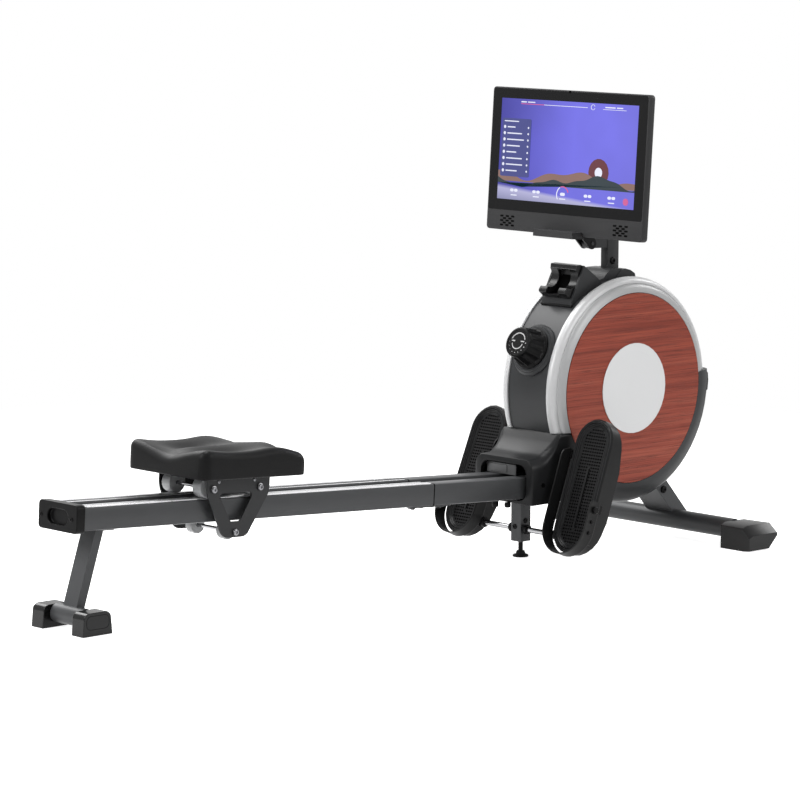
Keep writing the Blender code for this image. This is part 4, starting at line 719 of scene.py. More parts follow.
def shade(obj):
    """Smooth shading, with a sharp line wherever two faces turn by more than the edge angle."""
    obj.data.shade_smooth()
    obj.data.set_sharp_from_angle(angle=math.radians(EDGE_ANGLE))


def ease_edges(obj, width):
    """Rounds the sharp edges and keeps the flat faces flat in the shading."""
    bevel = obj.modifiers.new("eased edges", "BEVEL")
    bevel.width = width
    bevel.segments = 2
    bevel.limit_method = "ANGLE"
    bevel.angle_limit = math.radians(EDGE_ANGLE)
    bevel.harden_normals = True
    bevel.miter_outer = "MITER_ARC"


def add_object(name, data):
    obj = bpy.data.objects.new(name, data)
    bpy.context.scene.collection.objects.link(obj)
    return obj


def body_of(node):
    return frame["nodes"][node]["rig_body"]


def add_piece(name, mesh, finish, body):
    """A visible piece with its finish, riding on one body."""
    obj = add_object(name, mesh)
    mesh.materials.append(FINISH[finish])
    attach(obj, body)
    return obj


def detail(name, bm, finish, node, place, edge=0.0):
    """A piece of its own that moves with the body of the named frame piece."""
    piece = add_piece(name, finish_mesh(bm, name, place), finish, body_of(node))
    shade(piece)
    if edge:
        ease_edges(piece, edge)
    return piece


# Repeats of one small shape, made with Geometry Nodes


def make_scatter():
    """Stands a copy of a template on every point, turned as the point says, all in one finish."""
    nodes, given, out = new_group(
        "scatter_on_points",
        "GeometryNodeTree",
        (("Geometry", "Geometry"), ("Template", "Object"), ("Finish", "Material")),
        (("Geometry", "Geometry"),),
    )
    template = nodes.add("GeometryNodeObjectInfo", transform_space="ORIGINAL")
    turn = nodes.add("GeometryNodeInputNamedAttribute", data_type="FLOAT_VECTOR")
    turn.inputs["Name"].default_value = "turn"
    copies = nodes.add("GeometryNodeInstanceOnPoints")
    real = nodes.add("GeometryNodeRealizeInstances")
    paint = nodes.add("GeometryNodeSetMaterial")
    nodes.link(given["Template"], template.inputs["Object"])
    nodes.link(given["Geometry"], copies.inputs["Points"])
    nodes.link(template.outputs["Geometry"], copies.inputs["Instance"])
    nodes.link(turn.outputs["Attribute"], copies.inputs["Rotation"])
    nodes.link(copies.outputs["Instances"], real.inputs["Geometry"])
    nodes.link(real.outputs["Geometry"], paint.inputs["Geometry"])
    nodes.link(given["Finish"], paint.inputs["Material"])
    nodes.link(paint.outputs["Geometry"], out["Geometry"])
    return nodes.tree


SCATTER = make_scatter()


def scatter(name, bm, points, finish, node, place):
    """Copies of a small shape at points of (position, turn), joined into one piece in its place."""
    template = bpy.data.objects.new(f"{name}_template", finish_mesh(bm, f"{name}_template", WHOLE))
    shade(template)
    spots = bpy.data.meshes.new(f"{name}_spots")
    spots.from_pydata([position for position, _ in points], [], [])
    turns = spots.attributes.new("turn", "FLOAT_VECTOR", "POINT")
    for value, (_, turn) in zip(turns.data, points):
        value.vector = turn
    holder = add_object(f"{name}_spots", spots)
    modifier = holder.modifiers.new("copies", "NODES")
    modifier.node_group = SCATTER
    values = {"Template": template, "Finish": FINISH[finish]}
    for item in SCATTER.interface.items_tree:
        if item.name in values:
            modifier[item.identifier] = values[item.name]
    evaluated = holder.evaluated_get(bpy.context.evaluated_depsgraph_get())
    mesh = bpy.data.meshes.new_from_object(evaluated)
    bpy.data.objects.remove(holder)
    bpy.data.objects.remove(template)
    mesh.name = name
    mesh.transform(place)
    mesh.materials.clear()
    return add_piece(name, mesh, finish, body_of(node))


def button_head(radius, height, socket_radius):
    """A domed screw head with a hexagon socket, standing on Z = 0."""
    profile = [(radius * 0.96, -0.0002), (radius, height * 0.25), (radius * 0.9, height * 0.75)]
    rings = turned_rings(profile + [(radius * 0.62, height)], 24, "Z")
    sector = math.pi / 3
    for level in (height, height * 0.3):
        ring = []
        for k in range(24):
            angle = 2 * math.pi * k / 24
            reach = socket_radius * math.cos(sector / 2) / math.cos(angle % sector - sector / 2)
            ring.append((reach * math.cos(angle), reach * math.sin(angle), level))
        rings.append(ring)
    return lofts(rings)


# Fine copies of the frame's own pieces


def whole_faces(bm, name):
    """The surface with the loose triangles of its flat faces joined, as a bare mesh."""
    bmesh.ops.dissolve_limit(bm, angle_limit=math.radians(FLAT_ANGLE), verts=bm.verts, edges=bm.edges)
    mesh = to_mesh(bm, name)
    if "custom_normal" in mesh.attributes:
        mesh.attributes.remove(mesh.attributes["custom_normal"])
    mesh.materials.clear()
    return mesh


def refine(node, finish, edge):
    """Stands a welded copy with eased edges in for a frame piece."""
    bm = bmesh.new()
    bm.from_mesh(frame["nodes"][node].data)
    bmesh.ops.remove_doubles(bm, verts=bm.verts, dist=WELD)
    piece = add_piece(f"fine_{node}", whole_faces(bm, f"fine_{node}"), finish, body_of(node))
    shade(piece)
    ease_edges(piece, edge)
    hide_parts(node)


def refine_all():
    """The outer pieces that keep the frame's shape, with their finishes and the widths of their edges."""
    for name, _ in SIDES:
        for start, finish, edge in (
            ("front_foot_cap", "cap", 0.0016),
            ("rear_rail", "frame", 0.0004),
            ("front_rail", "frame", 0.0004),
            ("track", "track", 0.0003),
            ("wood_panel", "wood", 0.0004),
            ("centre_disc", "disc", 0.0004),
            ("pedal", "tread", 0.0006),
            ("rear_roller", "roller", 0.0008),
            ("front_roller", "roller", 0.0008),
            ("lower_roller", "roller", 0.0008),
        ):
            refine(f"{start}_{name}", finish, edge)
    for nodes, finish, edge in (
        (("rear_stand", "front_stand", "splice_plate", "centre_leg"), "frame", 0.0007),
        (("seat_bracket",), "plate", 0.0006),
        (("front_lower_cover", "top_cover", "knob_base"), "shell", 0.0009),
        (("neck_cover",), "neck", 0.0018),
        (("rail_end_cap", "screen_bracket"), "black", 0.0009),
        (("mast",), "plate", 0.0012),
        (("handle_dock",), "dock", 0.0013),
        (("screen_housing",), "casing", 0.0009),
        (("levelling_foot",), "rubber", 0.0006),
        (("rear_seat_axle", "front_seat_axle", "lower_seat_axle", "pedal_axle"), "rod", 0.0003),
        (("display_panel",), "glass", 0.0003),
    ):
        for node in nodes:
            refine(node, finish, edge)


# Camera and studio


def make_camera():
    data = bpy.data.cameras.new("camera")
    data.lens = CAMERA_LENS
    data.sensor_width = CAMERA_SENSOR
    data.clip_start = 0.5
    data.clip_end = 100
    camera = add_object("camera", data)
    turn = Matrix.Rotation(math.radians(CAMERA_HEADING - 90), 4, "Z")
    turn = turn @ Matrix.Rotation(math.radians(90 + CAMERA_PITCH), 4, "X")
    turn = turn @ Matrix.Rotation(math.radians(CAMERA_ROLL), 4, "Z")
    camera.matrix_world = Matrix.Translation(CAMERA_PLACE) @ turn
    bpy.context.scene.camera = camera


def make_world():
    world = bpy.data.worlds.new("studio")
    bpy.context.scene.world = world
    world.use_nodes = True
    nodes = Nodes(world.node_tree)
    light = nodes.tree.nodes["Background"]
    shown = nodes.add("ShaderNodeBackground")
    for node, strength in ((light, WORLD_LIGHT), (shown, 1.0)):
        node.inputs["Color"].default_value = (1.0, 1.0, 1.0, 1.0)
        node.inputs["Strength"].default_value = strength
    both = nodes.blend(nodes.background_share(), light.outputs[0], shown.outputs[0])
    nodes.link(both, nodes.tree.nodes["World Output"].inputs["Surface"])


def make_floor():
    """White paper that takes the shadows near the machine and fades to plain white away from it."""
    mesh = bpy.data.meshes.new("floor")
    corners = [(x * FLOOR_HALF, y * FLOOR_HALF, 0) for x, y in ((-1, -1), (1, -1), (1, 1), (-1, 1))]
    mesh.from_pydata(corners, [], [(0, 1, 2, 3)])
    floor = add_object("floor", mesh)
    paper = Shader("studio_floor", FLOOR_COLOUR, 0.9, specular=0.0)
    seen = paper.background_share()
    glow = paper.add("ShaderNodeEmission")
    paper.link(paper.math("MULTIPLY", seen, FLOOR_GLOW), glow.inputs["Strength"])
    lit = paper.add("ShaderNodeAddShader")
    paper.link(paper.body.outputs[0], lit.inputs[0])
    paper.link(glow.outputs[0], lit.inputs[1])
    coords = paper.add("ShaderNodeTexCoord")
    reach = paper.length(coords.outputs["Object"])
    fade = paper.remap(reach, 0.0, 1.0, FADE_FROM, FADE_TO, "SMOOTHSTEP")
    white = paper.add("ShaderNodeEmission")
    whole = paper.blend(paper.math("MULTIPLY", fade, seen), lit.outputs[0], white.outputs[0])
    paper.link(whole, paper.tree.nodes["Material Output"].inputs["Surface"])
    mesh.materials.append(paper.mat)


def make_lamp(name, place, target, size, power):
    """A rectangular softbox that faces its target."""
    data = bpy.data.lights.new(name, "AREA")
    data.shape = "RECTANGLE"
    data.size = size[0]
    data.size_y = size[1]
    data.energy = power
    lamp = add_object(name, data)
    lamp.location = place
    aim = Vector(target) - Vector(place)
    lamp.rotation_euler = aim.to_track_quat("-Z", "Y").to_euler()


def make_studio():
    make_camera()
    make_world()
    make_floor()
    make_lamp("overhead_softbox", (-0.2, 0.3, 3.2), (0.1, 0.0, 0.3), (2.2, 1.0), 70)
    make_lamp("back_softbox", (0.0, 2.5, 2.6), (0.2, 0.0, 0.4), (2.4, 1.5), 90)
    make_lamp("rear_left_softbox", (-2.2, 0.4, 1.4), (-0.4, 0.0, 0.3), (1.0, 0.9), 32)
    make_lamp("front_softbox", (3.0, -0.65, 2.0), (0.9, -0.2, 0.1), (0.9, 0.7), 22)
    make_lamp("side_softbox", (1.4, -3.8, 2.2), (0.4, 0.0, 0.4), (2.0, 1.6), 64)


# Drum


def make_shells():
    """Both drum shells as one skin, closed over the joint between them."""
    bm = bmesh.new()
    for name, _ in SIDES:
        bm.from_mesh(frame["nodes"][f"drum_shell_{name}"].data)
    for vert in bm.verts:
        if abs(vert.co.y) < SHELL_JOINT:
            vert.co.y = 0.0
    bmesh.ops.remove_doubles(bm, verts=bm.verts, dist=WELD)
    inner = [face for face in bm.faces if all(abs(vert.co.y) < WELD for vert in face.verts)]
    bmesh.ops.delete(bm, geom=inner, context="FACES")
    mesh = whole_faces(bm, "drum_shells")
    shells = add_piece("drum_shells", mesh, "shell", body_of("drum_shell_left"))
    shade(shells)
    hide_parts("drum_shell_left", "drum_shell_right")


def rim_profile():
    """From the panel outwards: a flat bevel, a fine groove and a round bead that rolls over the edge."""
    points = [(RIM_INNER_R, 0.0700), (RIM_INNER_R, 0.0874), (RIM_INNER_R + 0.0007, 0.0880)]
    points += [(0.2180, 0.0852), (0.2232, 0.0822), (0.2256, 0.0786), (0.2262, 0.0772), (BEAD_R, 0.0775)]
    for k in range(13):
        angle = math.radians(90 * k / 12)
        points.append((BEAD_R + BEAD_W * math.sin(angle), BEAD_Y + BEAD_H * math.cos(angle)))
    return points + [(0.2395, 0.0588), (0.2368, 0.0580), (0.2368, 0.0700)]


def make_rims():
    """The silver rims, cut level above the lower cover, and a dark ring of painted shadow round each wood
    panel.
    """
    for name, side in SIDES:
        node = f"rim_ring_{name}"
        rings = []
        for a, b in arc(0, 0, 1, RIM_FROM, RIM_TO, 150):
            rings.append([(r * a, side * y, r * b) for r, y in rim_profile()])
        bm = lofts(rings)
        whole = [*bm.verts, *bm.edges, *bm.faces]
        cut = bmesh.ops.bisect_plane(
            bm, geom=whole, plane_co=(0, 0, RIM_CUT), plane_no=(0, 0, -1), clear_outer=True
        )
        edges = [item for item in cut["geom_cut"] if isinstance(item, bmesh.types.BMEdge)]
        bmesh.ops.edgeloop_fill(bm, edges=edges)
        rim = detail(f"rim_{name}", bm, "silver", node, DRUM)
        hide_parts(f"rim_ring_{name}")
        # Painted shadow: a thin near-black ring where the wood panel meets the rim.
        inner, outer = PANEL_LINE_R, PANEL_LINE_R + PANEL_LINE_W
        low, high = side * PANEL_LINE_Y, side * (PANEL_LINE_Y + 0.0006)
        profile = [(inner, high), (outer, high), (outer, low), (inner, low)]
        line = lofts(turned_rings(profile, 120, "Y"), closed=True)
        detail(f"panel_line_{name}", line, "void", node, DRUM)


def make_dock_trim():
    """The dark gasket under the dock's wedge, and a near-black sheet at the back of its slot: painted shade
    where the slot is deep.
    """
    gasket = [(-0.1535, -0.0530), (-0.1530, -0.0500), (-0.1480, -0.0480), (-0.1480, -0.0560)]
    # Painted shade: the outline of the near-black sheet at the back of the slot.
    slot_shade_outline = [(-0.1375, -0.0340), (-0.1180, 0.0030), (-0.1140, 0.0250)]
    slot_shade_outline += [(-0.1120, 0.0240), (-0.1160, 0.0010), (-0.1345, -0.0345)]
    for name, outline, half, finish, edge in (
        ("dock_gasket", gasket, DOCK_GASKET_HALF_Y, "rubber", 0.0006),
        ("dock_lining", slot_shade_outline, DOCK_SLOT_HALF_Y, "void", 0.0),
    ):
        bm = prisms([[(x, DRUM_R + z) for x, z in outline]], -half, half, "Y")
        detail(name, bm, finish, "handle_dock", DRUM, edge)


# Seat cushion


def hill(value, centre, width):
    return math.exp(-(((value - centre) / width) ** 2))


def seat_height(a, b):
    """Height of the moulded seat over its rim. a runs from -1 at the rear to 1 in front, b across."""
    wings = 0.008 * hill(a, -1.0, 0.35) * b * b + 0.006 * hill(a, 0.4, 0.3) * b * b
    notch = -0.016 * hill(a, -1.0, 0.32) * hill(b, 0.0, 0.4)
    scoops = -0.017 * hill(a, -0.2, 0.5) * hill(abs(b), 0.42, 0.28)
    thighs = -0.015 * hill(a, 1.0, 0.35) * hill(abs(b), 0.55, 0.28)
    corners = -0.012 * hill(a, 1.05, 0.3) * b**4
    return SEAT_BEAD_H + wings + notch + scoops + thighs + corners


def seat_outline(inset):
    """The seat's outline from above: nine steps round each corner and 24 along each side."""
    half_u, half_y, radius = SEAT_HALF_U - inset, SEAT_HALF_Y - inset, SEAT_CORNER - inset
    corners = rounded(-half_u, half_u, -half_y, half_y, radius, 9)
    points = []
    for k, (a, b) in enumerate(corners):
        points.append((a, b))
        if k % 10 == 9:
            c, d = corners[(k + 1) % len(corners)]
            points += [(a + (c - a) * step / 24, b + (d - b) * step / 24) for step in range(1, 24)]
    return points


def make_cushion():
    """The moulded foam seat: a straight wall, a round bead on top of it and the two scoops."""
    wall = ((0.0200, 0.0004), (0.0050, 0.0), (0.0022, 0.0006), (0.0007, 0.0022), (0.0004, 0.0150))
    rings = []
    for inset, level in wall:
        rings.append([(x + SEAT_AHEAD, y, SEAT_RIM_W + level) for x, y in seat_outline(inset)])
    shapes = [(1.0, SEAT_WALL_IN, 0.0190)]
    for k in range(1, 9):
        angle = math.radians(90 * k / 8)
        inset = SEAT_WALL_IN + SEAT_BEAD_W * (1 - math.cos(angle))
        shapes.append((1.0, inset, SEAT_BEAD_DROP * (1 - math.sin(angle))))
    top_in = SEAT_WALL_IN + SEAT_BEAD_W
    shapes += [(1.0 - k / SEAT_TOP_RINGS, top_in, 0.0) for k in range(1, SEAT_TOP_RINGS)]
    for scale, inset, drop in shapes:
        ring = []
        for x, y in seat_outline(inset):
            top = seat_height(x * scale / SEAT_HALF_U, y * scale / SEAT_HALF_Y)
            ring.append((x * scale + SEAT_AHEAD, y * scale, SEAT_RIM_W + top - drop))
        rings.append(ring)
    cushion = detail("seat_cushion", lofts(rings), "seat", "seat_pad", CARRIAGE)
    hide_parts("seat_pad")


# Display


def picture_layer(name, outlines, level, finish):
    """Thin lit shapes over the glass, given in metres from the picture's lower left corner."""
    shapes = [[(PICTURE_W / 2 - a, PICTURE_LOW + b) for a, b in outline] for outline in outlines]
    bm = prisms(shapes, SCREEN_FRONT - level * LAYER, SCREEN_FRONT + SINK)
    detail(name, bm, finish, "display_panel", SCREEN)


def bar(a, b, length, height):
    return rounded(a, a + length, b, b + height, height * 0.49, 3)


def dot(a, b, radius):
    return arc(a, b, radius, 0, 340, 17)


def ring_part(a, b, outer, inner, start, end):
    return arc(a, b, outer, start, end, 16) + arc(a, b, inner, end, start, 16)


def hills(rise, waves, phase, foot):
    """A skyline over a straight foot, from a few waves."""
    crest = []
    for k in range(61):
        t = k / 60
        height = sum(size * math.sin(count * t * math.pi + phase * count) for size, count in waves)
        crest.append((t * PICTURE_W, rise + height))
    return crest + [(PICTURE_W, foot), (0.0, foot)]


def picture_marks():
    """The list's rows, the time line and the plain gauges along the foot."""
    marks = [bar(0.012, 0.1685, 0.044, 0.0022)]
    for row in range(8):
        height = 0.157 - row * 0.0135
        marks += [dot(0.014, height, 0.0034), dot(0.086, height, 0.0022)]
        marks.append(bar(0.022, height - 0.0013, 0.024 + 0.028 * abs(math.sin(row * 2.3)), 0.0026))
    for left, down, length, height in (
        (0.060, 0.0110, 0.200, 0.0012),
        (0.060, 0.0075, 0.016, 0.0026),
        (0.080, 0.0073, 0.022, 0.0022),
        (0.312, 0.0090, 0.030, 0.0024),
        (0.346, 0.0090, 0.018, 0.0024),
        (0.306, 0.0128, 0.068, 0.0010),
    ):
        marks.append(bar(left, PICTURE_H - down, length, height))
    marks.append(ring_part(0.276, PICTURE_H - 0.0090, 0.0060, 0.0052, 20, 340))
    for place in (0.052, 0.120, 0.275, 0.345):
        marks += [bar(place - 0.012, 0.0175, 0.010, 0.0062), bar(place, 0.0175, 0.010, 0.0062)]
        marks.append(bar(place - 0.010, 0.0090, 0.018, 0.0022))
    marks += [bar(0.192, 0.0170, 0.014, 0.0066), bar(0.190, 0.0090, 0.018, 0.0022)]
    marks.append(ring_part(*DIAL_PLACE, 0.0185, 0.0165, 120, 215))
    return marks


def make_picture():
    """A generic training picture: a low sun over dark hills, a bar list, a time line and gauges."""
    whole = [(0.0, 0.0), (PICTURE_W, 0.0), (PICTURE_W, PICTURE_H), (0.0, PICTURE_H)]
    far = hills(0.058, ((0.010, 3), (0.005, 7)), 0.9, 0.040)
    near = hills(0.047, ((0.011, 2), (0.006, 5), (0.002, 13)), 1.7, 0.036)
    accents = [bar(0.060, PICTURE_H - 0.0112, 0.070, 0.0016), dot(0.386, 0.0150, 0.0075)]
    accents.append(ring_part(*DIAL_PLACE, 0.0187, 0.0163, 20, 110))
    picture_layer("display_sky", [whole], 1, "sky")
    picture_layer("display_sun", [dot(*SUN_PLACE, 0.030)], 2, "sun")
    picture_layer("display_sun_core", [dot(*SUN_PLACE, 0.011)], 3, "ink")
    picture_layer("display_far_hills", [far], 4, "slope")
    picture_layer("display_near_hills", [near], 5, "ridge")
    picture_layer("display_list", [rounded(0.006, 0.094, 0.050, 0.176, 0.004)], 6, "sheet")
    picture_layer("display_marks", picture_marks(), 8, "ink")
    picture_layer("display_accents", accents, 9, "accent")


def make_screen_fittings():
    """Sound slots in the chin, drawn as near-black patches of painted shade on the casing, and the small
    lens over the glass.
    """
    outline = rounded(-SLOT_HALF_W, SLOT_HALF_W, -SLOT_HALF_H, SLOT_HALF_H, 0.0016, 4)
    points = []
    for side in (1, -1):
        for row in range(5):
            for column in range(3 - row % 2):
                across = (column - 1 + (row % 2) / 2) * SLOT_PITCH
                place = (SCREEN_FRONT, side * GRILLE_Y + across, GRILLE_Z + (row - 2) * SLOT_ROW)
                points.append((place, (0.0, 0.0, 0.0)))
    # Each slot is a thin patch in the near-black void finish: painted shade where the real slot opens into
    # the chin.
    slot = prisms([outline], -0.00015, 0.0006)
    scatter("sound_slots", slot, points, "void", "screen_housing", SCREEN)
    profile = [(0.0030, 0.0002), (0.0030, -0.0002), (0.0018, -0.0003), (0.0012, -0.0001)]
    rings = []
    for radius, height in profile:
        rings.append([(SCREEN_FRONT + height, y, z) for y, z in arc(0, LENS_Z, radius, 0, 345, 23)])
    detail("camera_lens", lofts(rings), "void", "screen_housing", SCREEN)


# Knob


def make_knob_marks():
    """Plain setting marks on the knob's face: two arcs, two strokes and a row of growing dots."""
    up = 180.0
    marks = [ring_part(0, 0, 0.0163, 0.0143, up - 78, up + 78)]
    marks.append(ring_part(0, 0, 0.0212, 0.0190, up + 108, up + 252))
    for way in (-1, 1):
        centre = way * 0.0135
        marks.append(rounded(0.0008, 0.0032, centre - 0.0050, centre + 0.0050, 0.0005, 2))
    for k in range(KNOB_DOTS):
        angle = math.radians(up - 88 + 176 * k / (KNOB_DOTS - 1))
        place = KNOB_DOTS_R * math.cos(angle), KNOB_DOTS_R * math.sin(angle)
        marks.append(dot(*place, 0.0006 + 0.00008 * k))
    face = KNOB_FACE - KNOB_DISH
    bm = prisms(marks, face - 0.0001, face + 0.00025, "Z")
    detail("knob_marks", bm, "marking", "resistance_knob", KNOB)


def make_knob():
    """The knob: a flange, a ribbed cone, and a round head with a dished face."""
    count = KNOB_RIBS * 12
    rings = []
    for level, radius, depth in (
        (KNOB_STEP, KNOB_FLANGE_R - 0.0010, 0.0),
        (KNOB_STEP + 0.0010, KNOB_FLANGE_R, 0.0),
        (KNOB_STEP + 0.0034, KNOB_FLANGE_R, 0.0),
        (KNOB_STEP + 0.0044, KNOB_FLANGE_R - 0.0012, 0.0),
        (KNOB_STEP + 0.0046, KNOB_FOOT_R + 0.0004, 0.0),
        (KNOB_STEP + 0.0060, KNOB_FOOT_R, 0.0030),
        (KNOB_STEP + 0.0150, KNOB_FOOT_R - 0.0022, 0.0030),
        (KNOB_FACE - 0.0125, KNOB_FACE_R + 0.0022, 0.0028),
        (KNOB_FACE - 0.0090, KNOB_FACE_R + 0.0008, 0.0022),
        (KNOB_FACE - 0.0078, KNOB_FACE_R, 0.0),
        (KNOB_FACE - 0.0022, KNOB_FACE_R, 0.0),
        (KNOB_FACE - 0.0006, KNOB_FACE_R - 0.0007, 0.0),
        (KNOB_FACE, KNOB_FACE_R - 0.0022, 0.0),
        (KNOB_FACE, KNOB_FACE_R - 0.0048, 0.0),
        (KNOB_FACE - KNOB_DISH, KNOB_FACE_R - 0.0058, 0.0),
        (KNOB_FACE - KNOB_DISH, 0.0030, 0.0),
    ):
        ring = []
        for k in range(count):
            angle = 2 * math.pi * k / count
            wave = 0.5 - 0.5 * math.cos(KNOB_RIBS * angle)
            r = radius - depth * wave**0.45
            ring.append((r * math.cos(angle), r * math.sin(angle), level))
        rings.append(ring)
    knob = detail("ribbed_knob", lofts(rings), "black", "resistance_knob", KNOB)
    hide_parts("resistance_knob")
    make_knob_marks()


# Footplates and their straps


def inside_plate(y, z, margin):
    """True where a point of the tread lies inside the footplate's oval by more than the margin."""
    centre = min(max(z, PEDAL_LOW + PEDAL_HALF_W), PEDAL_HIGH - PEDAL_HALF_W)
    return math.hypot(y, z - centre) < PEDAL_HALF_W - margin


def tread_points():
    """Rows of dots over the tread, up to its edge and off the middle rib."""
    points = []
    rows = int((PEDAL_HIGH - PEDAL_LOW) / DOT_PITCH) + 1
    for row in range(rows):
        z = PEDAL_LOW + DOT_START + row * DOT_PITCH
        for column in range(-7, 8):
            y = column * DOT_PITCH
            on_rib = abs(y) < RIB_HALF_W and RIB_LOW < z < RIB_HIGH
            if inside_plate(y, z, TREAD_EDGE) and not on_rib:
                points.append(((TREAD_X, y, z), (0.0, math.radians(-90), 0.0)))
    return points


def tread_dot():
    profile = [(DOT_R, -0.0002), (DOT_R * 0.95, 0.0009), (DOT_R * 0.72, 0.0016), (DOT_R * 0.25, 0.0018)]
    return lofts(turned_rings(profile, 10, "Z"))


def stadium(inset, count=16):
    """The footplate's outline, across and along the plate, drawn in by inset."""
    radius = PEDAL_HALF_W - inset
    high, low = PEDAL_HIGH - PEDAL_HALF_W, PEDAL_LOW + PEDAL_HALF_W
    return arc(0, high, radius, 0, 180, count) + arc(0, low, radius, 180, 360, count)


def make_ridges(name):
    """Fine raised lines that follow the footplate's edge, four on its border and two on the tread, in the
    lighter plate coat as a painted highlight on their edges.
    """
    lines = []
    border = ((0.0042, -0.018), (0.0074, -0.018), (0.0110, -0.017), (0.0140, -0.0143))
    section = ((-0.0007, SINK), (-0.0004, -0.0012), (0.0004, -0.0012), (0.0007, SINK))
    for inset, base in (*border, (0.0178, TREAD_X), (TREAD_EDGE, TREAD_X)):
        lines.append([[(base + x, y, z) for y, z in stadium(inset + step)] for step, x in section])
    bm = lofts(*lines, closed=True)
    # The plate coat is lighter than the tread: a painted highlight for the light along the ridges.
    detail(f"tread_ridges_{name}", bm, "plate", f"pedal_{name}", PEDALS[name])


def strap_run(side):
    """The strap's way round the heel, from its inner end to its outer end."""
    radius = PEDAL_HALF_W + STRAP_OFFSET + STRAP_T / 2
    low = PEDAL_LOW + PEDAL_HALF_W
    inner = [(-side * radius, STRAP_INNER_END - (STRAP_INNER_END - low) * k / 25) for k in range(25)]
    heel = [(y * side, z) for y, z in arc(0, low, radius, 180, 360, 40)]
    outer = [(side * radius, low + (STRAP_OUTER_END - low) * k / 12) for k in range(1, 13)]
    return inner + heel + outer


def end_share(distance, radius):
    """How much a round corner takes off the strap's width at a distance from its end."""
    if distance >= radius:
        return 0.0
    return radius - math.sqrt(max(radius**2 - (radius - distance) ** 2, 0.0))


def make_heel_strap(name, side):
    """The wide heel strap on edge, with round ends and beaded edges."""
    run = strap_run(side)
    lengths = [0.0]
    for a, b in zip(run, run[1:]):
        lengths.append(lengths[-1] + math.dist(a, b))
    edge = ((0.0, 0.30), (0.06, 0.62), (0.12, 0.5))
    swells = (*edge, (0.5, 0.44), *((1.0 - share, swell) for share, swell in reversed(edge)))
    rings = []
    for k, (y, z) in enumerate(run):
        before, after = run[max(k - 1, 0)], run[min(k + 1, len(run) - 1)]
        along = Vector((after[0] - before[0], after[1] - before[1])).normalized()
        out = Vector((along.y, -along.x)) * side
        start, end = lengths[k], lengths[-1] - lengths[k]
        free = STRAP_LOW + end_share(start, STRAP_FREE_ROUNDS[0]) + end_share(end, STRAP_FREE_ROUNDS[1])
        held = STRAP_HIGH - end_share(start, STRAP_HELD_ROUND) - end_share(end, STRAP_HELD_ROUND)
        section = [(free + share * (held - free), STRAP_T * swell) for share, swell in swells]
        ring = [(x, y + out.x * t, z + out.y * t) for x, t in section]
        ring += [(x, y - out.x * t, z - out.y * t) for x, t in reversed(section)]
        rings.append(ring)
    strap = detail(f"heel_strap_{name}", lofts(rings), "strap", f"pedal_strap_{name}", PEDALS[name])
    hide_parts(f"pedal_strap_{name}")


def make_strap_fittings(name, side):
    """The clamps under both ends of the heel strap, and the knob and two studs on its outer side."""
    bm = bmesh.new()
    wall = PEDAL_HALF_W + SINK
    for way, height in ((-side, STRAP_INNER_END - 0.010), (side, STRAP_OUTER_END - 0.012)):
        low, high = sorted((way * wall, way * (wall + STRAP_CLAMP_T)))
        outline = rounded(*STRAP_CLAMP, height - 0.012, height + 0.008, 0.003)
        add_prism(bm, outline, low, high, "Y")
    outer = side * (PEDAL_HALF_W + STRAP_OFFSET + STRAP_T)
    studs = ((0.062, 0.0075, 0.0062), (0.036, 0.0042, 0.0028), (0.012, 0.0042, 0.0028))
    for height, radius, rise in studs:
        profile = [(radius, -0.001), (radius, rise * 0.7), (radius * 0.8, rise), (radius * 0.25, rise)]
        rings = turned_rings([(r, outer + side * h) for r, h in profile], 20, "Y")
        add_loft(bm, [moved(ring, x=STRAP_KNOB_X, z=height) for ring in rings])
    detail(f"strap_fittings_{name}", bm, "black", f"pedal_strap_{name}", PEDALS[name], 0.0006)


def make_pedal_detail():
    for name, side in SIDES:
        # The raised dots are in the near-black void finish: painted shade for the shadows round the tread's
        # nubs.
        scatter(f"tread_dots_{name}", tread_dot(), tread_points(), "void", f"pedal_{name}", PEDALS[name])
        make_ridges(name)
        make_heel_strap(name, side)
        make_strap_fittings(name, side)


# Screws and other small fittings

REARWARD = (0.0, math.radians(-90), 0.0)
DOWNWARD = (math.pi, 0.0, 0.0)


def outward(side):
    """The turn that stands a head on a face across the machine."""
    return (math.radians(-90 * side), 0.0, 0.0)


def mirrored(*places):
    """Each place and its mirror image on the right side, with the heads turned outwards."""
    return [((x, side * y, z), outward(side)) for x, y, z in places for _, side in SIDES]


